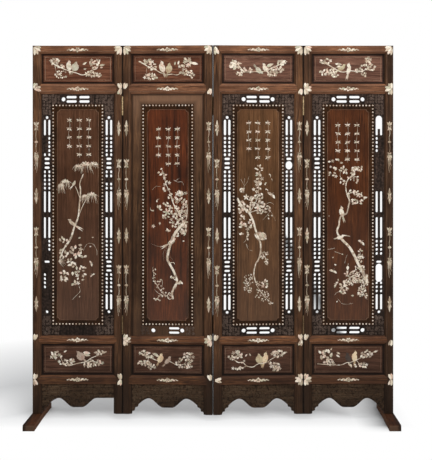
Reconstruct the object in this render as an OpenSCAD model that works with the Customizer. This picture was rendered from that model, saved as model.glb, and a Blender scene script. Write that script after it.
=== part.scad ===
/* [Leaves] */
// Width of one leaf, over its two stiles
leaf_w = 440; // [380:5:520]
// Height of one leaf, from the leg bottoms to the top
leaf_h = 1800; // [1700:10:2000]
// Thickness of the stiles and rails, front to back
frame_t = 32; // [28:1:40]
// Gap between two leaves that stand in line
leaf_gap = 0.2; // [0.2:0.1:3]
// Angle of the two middle leaves to the outer ones at rest, in degrees
rest_fold = 3; // [0:0.5:8]

/* [Frame] */
// Width of a stile, moulding included
stile_w = 44; // [40:1:60]
// Width of the moulding that runs round each opening
moulding_w = 14; // [10:1:16]
// Depth of the moulding's inner edge below the face of the frame
moulding_drop = 9; // [7:1:10]
// Radius of the bead line between the flat and the moulding
bead_line_r = 2; // [1:0.25:2.5]
// Height of the top rail
top_rail_h = 40; // [36:1:60]
// Height of the upper rail, under the small upper panel
upper_rail_h = 52; // [46:1:70]
// Height of the lower rail, over the small lower panel
lower_rail_h = 43; // [40:1:60]
// Height of the bottom rail
bottom_rail_h = 44; // [40:1:60]
// Height of the opening for the small upper panel
upper_opening_h = 145; // [120:1:180]
// Height of the opening for the small lower panel
lower_opening_h = 150; // [120:1:180]
// Length of the legs, from their bottoms to the bottom rail
leg_h = 146; // [120:1:180]
// Length of a rail tenon past the moulding
tenon_l = 22; // [15:1:24]
// Thickness of a tenon
tenon_t = 10; // [8:1:12]
// Height of the shoulder over a tenon at an edge without moulding
tenon_shoulder = 5; // [3:0.5:8]
// Room left round a tenon in its mortise
tenon_fit = 0.1; // [0.05:0.05:0.3]
// Chamfer along the outer edges of the stiles and rails
edge_chamfer = 0.75; // [0.5:0.25:2]
// Radius of the round front edge of a stile, on the outside of its leaf
stile_round_r = 3; // [1.5:0.5:4]

/* [Small panels] */
// Thickness of the tongue that a panel has in the grooves
tongue_t = 6; // [4:0.5:8]
// Depth of a tongue in its groove
tongue_l = 7; // [4:0.5:8]
// Room that a groove leaves for the wood to move
groove_room = 1; // [0.5:0.25:2]
// Play of a tongue between the sides of its groove
tongue_fit = 0.05; // [0.02:0.01:0.1]
// Height of the raised field over the tongue
field_rise = 3; // [2:0.5:4]
// Distance from the opening's edge to the raised field
field_inset = 9; // [6:1:12]
// Distance from the opening's edge to the raised line
line_inset = 15; // [14:1:24]
// Width of the raised line
line_w = 3; // [2:0.5:4]
// Height of the raised line
line_rise = 1.2; // [0.8:0.2:2]

/* [Fretwork] */
// Width of the pierced strips round the centre panel
fret_w = 49; // [48:1:58]
// Distance between the two columns of slots
column_pitch = 21.5; // [20:0.5:23]
// Width of a slot
slot_w = 11; // [9:0.5:12]
// Length of the long slots beside the middle knot
long_slot = 103; // [90:1:110]
// Half of the middle knot, where the strip stays solid
knot_half = 12; // [8:1:16]
// Length of a small slot
small_slot = 14; // [12:0.5:15]
// Distance between two small slots in a column
small_pitch = 20; // [19:0.5:22]
// Number of small slots in one group of a column
small_count = 5; // [3:1:5]
// Width of a slot that lies across the strip
cross_slot = 26; // [20:1:30]
// Distance between two slots that lie across the strip
cross_pitch = 21.5; // [18:0.5:22]
// Number of slots that lie across the strip in one group
cross_count = 3; // [1:1:3]
// Length of the slots at the ends of a strip
end_slot = 76; // [60:1:80]
// Diameter of the round hole past the end slots
end_hole_d = 14; // [10:0.5:16]
// Width of the bars between two groups of slots
group_bar = 8; // [6:0.5:10]
// Length of the slots in the top and bottom strips
band_slot = 51; // [40:1:56]
// Width of the slots in the top and bottom strips
band_slot_w = 12; // [9:0.5:12]
// Distance between the two slots over each other in a band
band_pitch = 21; // [20:0.5:22]
// Diameter of the round hole at the end of a band's slots
band_hole_d = 20; // [12:1:20]

/* [Centre panel] */
// Width of the beaded frame round the field
bead_frame_w = 23.5; // [20:0.5:28]
// Depth of the centre panel's tongue in the fretwork
centre_tongue_l = 5; // [3:0.5:6]
// Thickness of the centre panel's board
centre_t = 6; // [5:0.5:7]
// Distance of the board's back behind the tongues of the fretwork
centre_set_back = 1; // [0.5:0.25:2]
// Height of the centre panel's field over its board
centre_rise = 4; // [3:0.5:5]
// Height of the beaded frame over the board
bead_frame_t = 6.5; // [5:0.5:8]
// Radius of the notch in each corner of the field
corner_r = 12; // [8:1:16]
// Diameter of a pearl bead
bead_d = 8; // [6:0.5:9]
// Height of a pearl bead
bead_rise = 3.4; // [2:0.2:4]
// Distance between two pearl beads, about
bead_pitch = 16.5; // [12:0.5:20]
// Distance from the frame's outer edge to the row of beads
bead_inset = 6.5; // [5:0.5:8]
// Play between the centre pieces
centre_fit = 0.2; // [0.1:0.05:0.4]
// Width of the glue line in each mitre of the strips
mitre_gap = 0.1; // [0.05:0.05:0.2]

/* [Apron] */
// Thickness of the apron board
apron_t = 14; // [10:1:16]
// Height of the middle drop's tip over the leg bottoms
drop_z = 31; // [15:1:45]
// Height of the tops of the two arches
arch_z = 76; // [60:1:90]
// Distance from the middle of a leaf to the top of each arch
arch_x = 93; // [80:1:105]
// Half of the flat bottom of the middle drop
drop_half = 20; // [10:1:30]
// Height of the apron's ends at the stiles
apron_end_z = 8; // [4:1:20]
// Radius of the small lobes beside the stiles
lobe_r = 7; // [4:0.5:9]

/* [Feet] */
// Height of a foot
foot_h = 28; // [24:1:40]
// Width of a foot where the stile stands
foot_w = 50; // [46:1:60]
// Width of a foot at its nose
nose_w = 55; // [50:1:64]
// Length of a foot, front to back
foot_l = 448; // [340:2:460]
// Radius of the round edge along the top of the nose
nose_r = 9; // [4:1:14]
// Depth of the stile's tenon in the foot
foot_tenon_l = 22; // [15:1:24]
// Thickness of the stile's tenon in the foot, front to back
foot_tenon_t = 20; // [14:1:22]
// Width of the stile's tenon in the foot
foot_tenon_w = 22; // [16:1:24]

/* [Hinges] */
// Length of a hinge
hinge_l = 90; // [70:1:110]
// Height of the upper hinges' middle over the leg bottoms
upper_hinge_z = 1505; // [1440:5:1540]
// Height of the lower hinges' middle over the leg bottoms
lower_hinge_z = 435; // [410:5:560]
// Thickness of a hinge plate
plate_t = 2; // [1.6:0.1:2]
// Height of a plate that is let in, over the side of its stile
plate_proud = 0.05; // [0:0.01:0.08]
// Width of a plate on the stile, from the face of the frame
plate_w = 22; // [16:1:26]
// Radius of a hinge barrel
barrel_r = 4; // [3.5:0.25:5]
// Radius of a hinge pin
pin_r = 2; // [1.5:0.1:2.2]
// Running clearance between pin and barrel
pin_fit = 0.05; // [0.03:0.01:0.08]
// Gap between two knuckles of a barrel
knuckle_gap = 0.6; // [0.4:0.1:1]
// Height of the button head on a pin
pin_head_h = 2; // [1:0.5:3]
// Radius of the button head on a pin
pin_head_r = 3.2; // [2.6:0.1:3.6]

/* [Hidden] */
$fn = 48;
leaf_numbers = [1, 2, 3, 4];
leaf_parts = [
    "left_stile", "right_stile", "top_rail", "upper_rail", "lower_rail", "bottom_rail",
    "upper_panel", "centre_panel", "lower_panel", "fretwork", "bead_frame", "pearl_beads",
    "apron", "hinge_plates"
];

rosewood = "#5f4535";
rosewood_rail = "#70503f";
panel_wood = "#5c3b29";
dark_wood = "#3c2f27";
foot_wood = "#503121";
pearl = "#d9cfba";
brass = "#a8884a";

// The openings of a leaf, in heights over the leg bottoms
half_w = leaf_w / 2;
half_t = frame_t / 2;
opening_w = leaf_w - 2 * stile_w;
bottom_rail_z = leg_h;
lower_opening_z = bottom_rail_z + bottom_rail_h;
lower_rail_z = lower_opening_z + lower_opening_h;
main_opening_z = lower_rail_z + lower_rail_h;
top_rail_z = leaf_h - top_rail_h;
upper_opening_z = top_rail_z - upper_opening_h;
upper_rail_z = upper_opening_z - upper_rail_h;
main_opening_h = upper_rail_z - main_opening_z;
main_mid_z = main_opening_z + main_opening_h / 2;

// How far a cutter reaches past what it cuts
cut = 1;

// Where the slope of a moulding bends, as shares of its drop and of its width
slope_bend = [0.6, 0.33];

// The moulding's inner edge is as thick as the fretwork that meets it
edge_t = frame_t - 2 * moulding_drop;
fret_front = -edge_t / 2;

// The centre panel, seen from the front
centre_w = opening_w - 2 * fret_w;
centre_h = main_opening_h - 2 * fret_w;
centre_back = tongue_t / 2 + centre_set_back;
centre_front = centre_back - centre_t;
field_w = centre_w - 2 * bead_frame_w;
field_h = centre_h - 2 * bead_frame_w;
bead_front = centre_front - bead_frame_t;
dome_r = (bead_d * bead_d / 4 + bead_rise * bead_rise) / (2 * bead_rise);
beads_x = round((centre_w - 2 * bead_inset) / bead_pitch);
beads_z = round((centre_h - 2 * bead_inset) / bead_pitch);

// Slot groups of a side strip, in distances from its middle
small_start = knot_half + long_slot + group_bar;
small_group = (small_count - 1) * small_pitch + small_slot;
cross_start = small_start + small_group + group_bar;
cross_group = (cross_count - 1) * cross_pitch + slot_w;
outer_start = cross_start + cross_group + group_bar;
end_start = outer_start + small_group + group_bar;
end_hole_z = end_start + end_slot + group_bar / 2 + end_hole_d / 2;

// Number of straight pieces in the apron's lower edge
apron_steps = 44;

// How full the outer side of an arch is: 1 would be a straight slope
outer_fall = 1.6;

// Number of straight pieces in the round edge of a stile
round_steps = 4;

// Distances of the apron's lobes from the stile, in lobe radii
lobe_steps = [1, 3.4];

// How far the foot tenon's block reaches up inside its stile, to be one piece with it
foot_tenon_root = 5;

// Strips are numbered from the bottom one clockwise: 0 bottom, 1 left, 2 top, 3 right.
// Stretches are measured from a strip's middle, in pitches of its small slots.
// Stretches where old repairs fill the holes: [leaf, strip, columns, from, to]
filled_stretches = [
    [1, 0, [-1, 0, 1], -5, 5],
    [1, 1, [-1], 15, 20],
    [1, 1, [-1], -11.5, -6],
    [1, 1, [1], -30, -9],
    [1, 1, [0], -15, -12.5],
    [1, 1, [-1], -30, -18],
    [1, 2, [0], 0, 5],
    [1, 3, [-1, 1], 7.5, 9],
    [2, 0, [-1, 1], -3, 0],
    [4, 3, [1], 15, 20],
    [4, 3, [-1, 0, 1], 6, 15],
    [4, 3, [-1, 1], -10.75, -9.5]
];
// Stretches where the bars between the two columns are lost: [leaf, strip, from, to]
lost_bars = [
    [3, 3, 11.1, 13.1],
    [4, 3, 21, 24.25],
    [4, 3, -16.5, -12]
];

// Hinge axes: proud of the face by one barrel radius
pin_proud = barrel_r;
axis_x = half_w + leaf_gap / 2;
axis_y = frame_t / 2 + pin_proud;
knuckle_count = 5;
knuckle_pitch = hinge_l / knuckle_count;
barrel_clear = 0.3;
plate_fit = 0.05;
plate_let_in = plate_t - plate_proud;
plate_outer = leaf_gap / 2 + plate_let_in;

// Where the leaves stand at rest
axis_step_x = leaf_w + leaf_gap;
axis_step_y = 2 * axis_y;
side_axis_x = axis_step_x * cos(rest_fold) + axis_step_y * sin(rest_fold);
outer_leaf_x = side_axis_x + axis_x;
middle_axis_y = -axis_y - axis_step_x * sin(rest_fold) + axis_step_y * cos(rest_fold);
foot_x = outer_leaf_x + half_w - stile_w / 2;

echo(side_axis = [side_axis_x, -axis_y], middle_axis = [0, middle_axis_y], foot_x = foot_x);

// Puts a leaf's own frame, middle of its leg bottoms, at its place in the standing screen
module place_leaf(k) {
    side = k < 3 ? -1 : 1;
    if (k == 1 || k == 4) {
        translate([side * outer_leaf_x, 0, foot_h])
            children();
    } else {
        translate([side * side_axis_x, -axis_y, foot_h])
            rotate([0, 0, side * rest_fold])
                translate([-side * axis_x, axis_y, 0])
                    children();
    }
}

// Points along one edge of a bar, front to back, as [depth, distance from the edge]
function edge_points(moulded, round_r = 0) = moulded
    ? [
        [-half_t, moulding_w], [-half_t + bead_line_r, moulding_w],
        [-half_t + bead_line_r, moulding_w - 2 * bead_line_r],
        [-half_t + moulding_drop * slope_bend[0], moulding_w * slope_bend[1]],
        [fret_front, 0], [-fret_front, 0],
        [half_t - bead_line_r, moulding_w - bead_line_r], [half_t, moulding_w]
    ]
    : concat(
        round_r > 0 ? round_edge(round_r) : [[-half_t, edge_chamfer], [-half_t + edge_chamfer, 0]],
        [[half_t - edge_chamfer, 0], [half_t, edge_chamfer]]
    );

function round_edge(r) = [
    for (i = [0 : round_steps])
        let (turn = 90 * i / round_steps)
            [-half_t + r * (1 - cos(turn)), r * (1 - sin(turn))]
];

function reversed(list) = [for (i = [len(list) - 1 : -1 : 0]) list[i]];

// Cross-section of a stile or rail: x is the depth, y runs from one edge to the other
module bar_profile(width, low_moulded, high_moulded, low_round = 0) {
    low = edge_points(low_moulded, low_round);
    high = [for (p = reversed(edge_points(high_moulded))) [p[0], width - p[1]]];
    polygon(concat(low, high));
    if (low_moulded)
        translate([-half_t + bead_line_r, moulding_w - bead_line_r])
            circle(r = bead_line_r);
    if (high_moulded)
        translate([-half_t + bead_line_r, width - moulding_w + bead_line_r])
            circle(r = bead_line_r);
}

// Front view of a rail: mitred where its mouldings meet those of the stiles
module rail_outline(height, below, above) {
    in_x = opening_w / 2;
    out_x = in_x + moulding_w;
    low = below ? moulding_w : 0;
    high = above ? height - moulding_w : height;
    polygon([
        [-out_x, low], [below ? -in_x : -out_x, 0], [below ? in_x : out_x, 0],
        [out_x, low], [out_x, high], [above ? in_x : out_x, height],
        [above ? -in_x : -out_x, height], [-out_x, high]
    ]);
}

// The space that a rail takes out of the stiles' mouldings
module rail_space(z, height, below, above) {
    translate([0, frame_t, z])
        rotate([90, 0, 0])
            linear_extrude(2 * frame_t)
                rail_outline(height, below, above);
}

module all_rail_spaces() {
    rail_space(bottom_rail_z, bottom_rail_h, false, true);
    rail_space(lower_rail_z, lower_rail_h, true, true);
    rail_space(upper_rail_z, upper_rail_h, true, true);
    rail_space(top_rail_z, top_rail_h, true, false);
}

// Tenons of one rail, or with room their mortises
module tenons(z, height, below, above, room) {
    low = z + (below ? moulding_w : tenon_shoulder);
    high = z + height - (above ? moulding_w : tenon_shoulder);
    for (side = [-1, 1]) {
        x0 = side * opening_w / 2;
        x1 = x0 + side * (moulding_w + tenon_l + room);
        translate([min(x0, x1), -tenon_t / 2 - room, low - room])
            cube([abs(x1 - x0), tenon_t + 2 * room, high - low + 2 * room]);
    }
}

module all_mortises() {
    tenons(bottom_rail_z, bottom_rail_h, false, true, tenon_fit);
    tenons(lower_rail_z, lower_rail_h, true, true, tenon_fit);
    tenons(upper_rail_z, upper_rail_h, true, true, tenon_fit);
    tenons(top_rail_z, top_rail_h, true, false, tenon_fit);
}

// The tongue of a panel or strip round an opening, or with room the grooves for it
module tongue_plate(z, height, room) {
    reach = tongue_l + room;
    side_room = room > 0 ? tongue_fit : 0;
    translate([-opening_w / 2 - reach, -tongue_t / 2 - side_room, z - reach])
        cube([opening_w + 2 * reach, tongue_t + 2 * side_room, height + 2 * reach]);
}

module all_grooves() {
    tongue_plate(lower_opening_z, lower_opening_h, groove_room);
    tongue_plate(main_opening_z, main_opening_h, groove_room);
    tongue_plate(upper_opening_z, upper_opening_h, groove_room);
    apron_tongue(groove_room);
}

// Recesses for the hinge plates in the side of a stile; pin_side is -1 for front pins
module plate_recesses(side, pin_side) {
    for (z = [lower_hinge_z, upper_hinge_z])
        translate([side * half_w, 0, z - hinge_l / 2])
            plate_recess(side, pin_side);
}

module plate_recess(side, pin_side) {
    depth = plate_w + plate_fit;
    x0 = side > 0 ? -plate_let_in : -cut;
    y0 = pin_side < 0 ? -half_t - cut : half_t - depth;
    translate([x0, y0, -plate_fit])
        cube([plate_let_in + cut, depth + cut, hinge_l + 2 * plate_fit]);
}

// On which side of leaf k there is a hinge, and whether its pins are at the front
function hinged(k, side) = side < 0 ? k > 1 : k < 4;
function pin_side(k, side) = (k == 2 && side > 0) || (k == 3 && side < 0) ? 1 : -1;

module stile(k, side) {
    color(rosewood)
        difference() {
            union() {
                mirror([side > 0 ? 1 : 0, 0, 0])
                    translate([-half_w, 0, 0])
                        mirror([1, -1, 0])
                            linear_extrude(leaf_h)
                                bar_profile(stile_w, false, true, stile_round_r);
                if (!hinged(k, side))
                    foot_tenon(side, 0);
            }
            all_rail_spaces();
            all_mortises();
            all_grooves();
            if (hinged(k, side))
                plate_recesses(side, pin_side(k, side));
        }
}

// Tenon under an outer stile, or with room its mortise in the foot
module foot_tenon(side, room) {
    translate([
        side * (half_w - stile_w / 2) - foot_tenon_w / 2 - room,
        -foot_tenon_t / 2 - room,
        -foot_tenon_l - room
    ])
        cube([foot_tenon_w + 2 * room, foot_tenon_t + 2 * room, foot_tenon_l + foot_tenon_root + room]);
}

// A rail, with mouldings below and above as asked
module rail(z, height, below, above) {
    length = opening_w + 2 * moulding_w;
    color(rosewood_rail)
        difference() {
            union() {
                intersection() {
                    rail_space(z, height, below, above);
                    translate([-length / 2, 0, z])
                        rotate([90, 0, 90])
                            linear_extrude(length)
                                bar_profile(height, below, above);
                }
                tenons(z, height, below, above, 0);
            }
            all_grooves();
        }
}

// A small panel: a tongue all round, a raised field and a raised line on it
module small_panel(z, height) {
    color(panel_wood) {
        tongue_plate(z, height, 0);
        field_block(z, height, field_inset, field_rise);
        difference() {
            field_block(z, height, line_inset, field_rise + line_rise);
            field_block(z, height, line_inset + line_w, field_rise + line_rise + 1);
        }
    }
}

// A block that rises from the middle of a panel, so far in from its opening's edge
module field_block(z, height, inset, rise) {
    translate([-opening_w / 2 + inset, -tongue_t / 2 - rise, z + inset])
        cube([opening_w - 2 * inset, rise + tongue_t / 2, height - 2 * inset]);
}

// A flat shape drawn as seen from the front, made thick from one depth to another
module front_extrude(front, back) {
    translate([0, back, 0])
        rotate([90, 0, 0])
            linear_extrude(back - front)
                children();
}

// A slot with round ends, upright
module slot(width, length) {
    straight = length - width;
    square([width, straight], center = true);
    for (end = [-1, 1])
        translate([0, end * straight / 2])
            circle(d = width);
}

// Every hole of a side strip as [column, height, width, length]: the columns are -1 and 1,
// and 0 is a hole in the middle; heights count from the strip's middle
side_hole_list = [
    for (half = [-1, 1]) each concat(
        [for (column = [-1, 1]) each concat(
            [[column, half * (knot_half + long_slot / 2), slot_w, long_slot]],
            [for (start = [small_start, outer_start], i = [0 : small_count - 1])
                [column, half * (start + small_slot / 2 + i * small_pitch), slot_w, small_slot]],
            [[column, half * (end_start + end_slot / 2), slot_w, end_slot]]
        )],
        [for (i = [0 : cross_count - 1])
            [0, half * (cross_start + slot_w / 2 + i * cross_pitch), cross_slot, slot_w]],
        [[0, half * end_hole_z, end_hole_d, end_hole_d]]
    )
];

// Every hole of a top or bottom strip, in the same way: here the height runs to the right
band_hole_list = [
    for (half = [-1, 1]) each concat(
        [for (row = [-1, 1]) [row, half * (knot_half / 2 + band_slot / 2), band_slot_w, band_slot]],
        [[0, half * (knot_half / 2 + band_slot + group_bar / 2 + band_hole_d / 2), band_hole_d, band_hole_d]]
    )
];

// Whether a hole is still open: it isn't in a stretch that is filled
function is_open(k, i, hole) = len([
    for (f = filled_stretches)
        if (f[0] == k && f[1] == i && len([for (c = f[2]) if (c == hole[0]) c]) > 0
            && hole[1] > f[3] * small_pitch && hole[1] < f[4] * small_pitch) f
]) == 0;

// The holes of strip i of leaf k, about its middle, as it stands in the leaf
module strip_holes(k, i) {
    upright = i == 1 || i == 3;
    pitch = upright ? column_pitch : band_pitch;
    for (hole = upright ? side_hole_list : band_hole_list)
        if (is_open(k, i, hole))
            translate([hole[0] * pitch / 2, hole[1]])
                if (hole[2] > hole[3])
                    rotate(90)
                        slot(hole[3], hole[2]);
                else if (hole[2] == hole[3])
                    circle(d = hole[2]);
                else
                    slot(hole[2], hole[3]);
    for (gap = lost_bars)
        if (gap[0] == k && gap[1] == i)
            translate([0, small_pitch * (gap[2] + gap[3]) / 2])
                slot(column_pitch + slot_w, small_pitch * (gap[3] - gap[2]));
}

// Turns the holes of a strip from how they stand in the leaf to how the strip is drawn
function hole_turn(i) = [-90, 90, 90, -90][i];

// Front view of a strip, its outer edge on the x axis, mitred at both ends; its tongue
// reaches out below the axis, and half of the glue line is cut from each mitre
module mitred_strip(length, width, tongue) {
    half = length / 2 - mitre_gap * sqrt(2) / 2;
    polygon([
        [-half - tongue, -tongue], [half + tongue, -tongue],
        [half - width, width], [-half + width, width]
    ]);
}

// Turns each of the four strips round an opening to its side: bottom, left, top, right
module strip_side(i, across, up) {
    if (i == 0)
        translate([0, -up / 2])
            children();
    else if (i == 1)
        translate([-across / 2, 0])
            rotate(-90)
                children();
    else if (i == 2)
        translate([0, up / 2])
            rotate(180)
                children();
    else
        translate([across / 2, 0])
            rotate(90)
                children();
}

// One of the four fretwork strips of leaf k, pierced unless it is a plain one
module fret_strip(k, i) {
    upright = i == 1 || i == 3;
    length = upright ? main_opening_h : opening_w;
    difference() {
        union() {
            front_extrude(fret_front, -fret_front)
                strip_side(i, opening_w, main_opening_h)
                    difference() {
                        mitred_strip(length, fret_w, 0);
                        if (strip_pierced(k, i))
                            translate([0, fret_w / 2])
                                rotate(hole_turn(i))
                                    strip_holes(k, i);
                    }
            front_extrude(-tongue_t / 2, tongue_t / 2)
                strip_side(i, opening_w, main_opening_h)
                    mitred_strip(length, tongue_l / 2, tongue_l);
        }
        centre_groove();
    }
}

// The groove that the centre panel's tongue sits in, centred on the main opening
module centre_groove() {
    reach = centre_tongue_l + groove_room;
    front_extrude(centre_front, centre_back)
        square([centre_w + 2 * reach, centre_h + 2 * reach], center = true);
}

// Leaf 2 has plain strips at its sides and top, the others have all four pierced
function strip_pierced(k, i) = k != 2 || i == 0;

module fretwork(k) {
    color(dark_wood)
        translate([0, 0, main_mid_z])
            for (i = [0 : 3])
                fret_strip(k, i);
}

// Outline of the centre field, with a round notch in each corner
module field_outline(room) {
    difference() {
        square([field_w + 2 * room, field_h + 2 * room], center = true);
        for (x = [-1, 1], z = [-1, 1])
            translate([x * (field_w / 2 + room), z * (field_h / 2 + room)])
                circle(r = corner_r);
    }
}

module centre_panel() {
    color(panel_wood)
        translate([0, 0, main_mid_z]) {
            front_extrude(centre_front, centre_back)
                square([centre_w + 2 * centre_tongue_l, centre_h + 2 * centre_tongue_l], center = true);
            front_extrude(centre_front - centre_rise, centre_back)
                field_outline(-centre_fit);
        }
}

// Four mitred strips on the centre board, round its field and inside the fretwork
module bead_frame() {
    color(dark_wood)
        translate([0, 0, main_mid_z])
            for (i = [0 : 3])
                front_extrude(bead_front, centre_front)
                    difference() {
                        strip_side(i, centre_w, centre_h)
                            mitred_strip(i == 1 || i == 3 ? centre_h : centre_w, bead_frame_w + corner_r, 0);
                        field_outline(0);
                    }
}

// One bead: a low dome, its flat face on the frame
module bead() {
    rotate([90, 0, 0])
        rotate_extrude($fn = 24)
            intersection() {
                translate([0, bead_rise - dome_r])
                    circle(r = dome_r);
                square([bead_d, bead_rise]);
            }
}

module pearl_beads() {
    row_w = centre_w - 2 * bead_inset;
    row_h = centre_h - 2 * bead_inset;
    color(pearl)
        translate([0, bead_front, main_mid_z]) {
            for (i = [0 : beads_x - 1], side = [-1, 1])
                translate([side * (-row_w / 2 + i * row_w / beads_x), 0, side * row_h / 2])
                    bead();
            for (i = [0 : beads_z - 1], side = [-1, 1])
                translate([side * row_w / 2, 0, side * (row_h / 2 - i * row_h / beads_z)])
                    bead();
        }
}

// Leaf 1 has lost the right end of its apron, past the arch
function apron_broken(k) = k == 1;

// How much of an arch's rise its edge has at a distance x from the middle of the leaf
function arch_share(x) = abs(x) < arch_x
    ? (1 + cos(180 * min(1, (arch_x - abs(x)) / (arch_x - drop_half)))) / 2
    : 1 - pow((abs(x) - arch_x) / (opening_w / 2 - arch_x), outer_fall);

// Lower edge of the apron at a distance x from the middle of the leaf
function apron_edge(x) =
    let (foot_z = abs(x) < arch_x ? drop_z : apron_end_z)
        foot_z + (arch_z - foot_z) * arch_share(x);

module apron_outline(k, reach) {
    low = [for (i = [0 : apron_steps])
        let (x = -opening_w / 2 + i * opening_w / apron_steps)
            [x, apron_broken(k) && x > arch_x ? arch_z : apron_edge(x)]];
    right_end = low[apron_steps][1];
    polygon(concat(
        [[-opening_w / 2 - reach, bottom_rail_z + reach]],
        reach > 0 ? [[-opening_w / 2 - reach, apron_end_z]] : [],
        low,
        reach > 0 ? [[opening_w / 2 + reach, right_end]] : [],
        [[opening_w / 2 + reach, bottom_rail_z + reach]]
    ));
}

// The apron's tongue in the stiles and the bottom rail, or with room its grooves
module apron_tongue(room) {
    reach = tongue_l + room;
    side_room = room > 0 ? tongue_fit : 0;
    low = apron_end_z - room;
    translate([-opening_w / 2 - reach, -tongue_t / 2 - side_room, low])
        cube([opening_w + 2 * reach, tongue_t + 2 * side_room, bottom_rail_z + reach - low]);
}

module apron(k) {
    color(dark_wood) {
        front_extrude(-apron_t / 2, apron_t / 2) {
            apron_outline(k, 0);
            for (side = apron_broken(k) ? [-1] : [-1, 1], step = lobe_steps)
                apron_lobe(side, opening_w / 2 - step * lobe_r);
        }
        front_extrude(-tongue_t / 2, tongue_t / 2)
            apron_outline(k, tongue_l);
    }
}

module apron_lobe(side, x) {
    translate([side * x, apron_edge(x) + lobe_r / 2])
        circle(r = lobe_r);
}

// A foot: a block that runs front to back, its noses rounded and a little wider
module foot(side) {
    color(foot_wood)
        translate([0, 0, foot_h])
            difference() {
                translate([side * (half_w - stile_w / 2), 0, -foot_h])
                    foot_block();
                foot_tenon(side, tenon_fit);
            }
}

module foot_block() {
    intersection() {
        translate([-nose_w, 0, 0])
            rotate([90, 0, 90])
                linear_extrude(2 * nose_w)
                    foot_side();
        linear_extrude(foot_h)
            polygon([
                [-nose_w / 2, -foot_l / 2], [nose_w / 2, -foot_l / 2], [foot_w / 2, 0],
                [nose_w / 2, foot_l / 2], [-nose_w / 2, foot_l / 2], [-foot_w / 2, 0]
            ]);
    }
}

// Side view of a foot, its toes rounded along the top
module foot_side() {
    for (end = [-1, 1])
        translate([end * (foot_l / 2 - nose_r), foot_h - nose_r])
            circle(r = nose_r);
    square_to = foot_l / 2 - nose_r;
    translate([-square_to, 0])
        square([2 * square_to, foot_h]);
    translate([-foot_l / 2, 0])
        square([foot_l, foot_h - nose_r]);
}

// The knuckles that belong to one plate: the even ones or the odd ones
function knuckles(even) = [for (i = [0 : knuckle_count - 1]) if ((i % 2 == 0) == even) i];

// One hinge plate and its knuckles, about the hinge axis, its plate towards -x and +y
module hinge_plate(even) {
    own_h = knuckle_pitch - knuckle_gap;
    end_trim = barrel_r + cut;
    difference() {
        union() {
            translate([-plate_outer, 0, 0])
                cube([plate_t, pin_proud + plate_w, hinge_l]);
            for (i = knuckles(even))
                translate([0, 0, i * knuckle_pitch + knuckle_gap / 2])
                    cylinder(r = barrel_r, h = own_h);
        }
        translate([0, 0, -cut])
            cylinder(r = pin_r + pin_fit, h = hinge_l + 2 * cut);
        for (i = knuckles(!even))
            translate([0, 0, i * knuckle_pitch - knuckle_gap / 2])
                cylinder(r = barrel_r + barrel_clear, h = knuckle_pitch + knuckle_gap);
        for (end = [-cut, hinge_l - knuckle_gap / 2])
            translate([-end_trim, -end_trim, end])
                cube([2 * end_trim, end_trim + pin_proud - 2 * plate_fit, cut + knuckle_gap / 2]);
    }
}

// Both hinges' plates at one side of a leaf
module side_plates(k, side) {
    depth_side = pin_side(k, side);
    even = (k == 2) || (k == 3 && side > 0);
    for (z = [lower_hinge_z, upper_hinge_z])
        translate([side * axis_x, depth_side * axis_y, z - hinge_l / 2])
            mirror([0, depth_side > 0 ? 1 : 0, 0])
                mirror([side < 0 ? 1 : 0, 0, 0])
                    hinge_plate(even);
}

module hinge_plates(k) {
    color(brass)
        for (side = [-1, 1])
            if (hinged(k, side))
                side_plates(k, side);
}

// The pins of leaf k's hinges at one side, each with a button head on top
module pins(k, side) {
    color(brass)
        for (z = [lower_hinge_z, upper_hinge_z])
            translate([side * axis_x, pin_side(k, side) * axis_y, z - hinge_l / 2]) {
                cylinder(r = pin_r, h = hinge_l - knuckle_gap / 2 + pin_head_h);
                translate([0, 0, hinge_l - knuckle_gap / 2])
                    cylinder(r = pin_head_r, h = pin_head_h);
            }
}

module leaf_part(part, k) {
    if (part == "left_stile")
        stile(k, -1);
    if (part == "right_stile")
        stile(k, 1);
    if (part == "top_rail")
        rail(top_rail_z, top_rail_h, true, false);
    if (part == "upper_rail")
        rail(upper_rail_z, upper_rail_h, true, true);
    if (part == "lower_rail")
        rail(lower_rail_z, lower_rail_h, true, true);
    if (part == "bottom_rail")
        rail(bottom_rail_z, bottom_rail_h, false, true);
    if (part == "upper_panel")
        small_panel(upper_opening_z, upper_opening_h);
    if (part == "centre_panel")
        centre_panel();
    if (part == "lower_panel")
        small_panel(lower_opening_z, lower_opening_h);
    if (part == "fretwork")
        fretwork(k);
    if (part == "bead_frame")
        bead_frame();
    if (part == "pearl_beads")
        pearl_beads();
    if (part == "apron")
        apron(k);
    if (part == "hinge_plates")
        hinge_plates(k);
}

module foot_left() {
    translate([0, 0, -foot_h])
        place_leaf(1)
            foot(-1);
}

module foot_right() {
    translate([0, 0, -foot_h])
        place_leaf(4)
            foot(1);
}

module hinge_pins_left() {
    place_leaf(2)
        for (side = [-1, 1])
            pins(2, side);
}

module hinge_pins_right() {
    place_leaf(3)
        pins(3, 1);
}

for (k = leaf_numbers, part = leaf_parts)
    place_leaf(k) leaf_part(part, k);
foot_left();
foot_right();
hinge_pins_left();
hinge_pins_right();
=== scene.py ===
import math
import random

import bpy
from mathutils import Matrix, Vector


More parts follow.
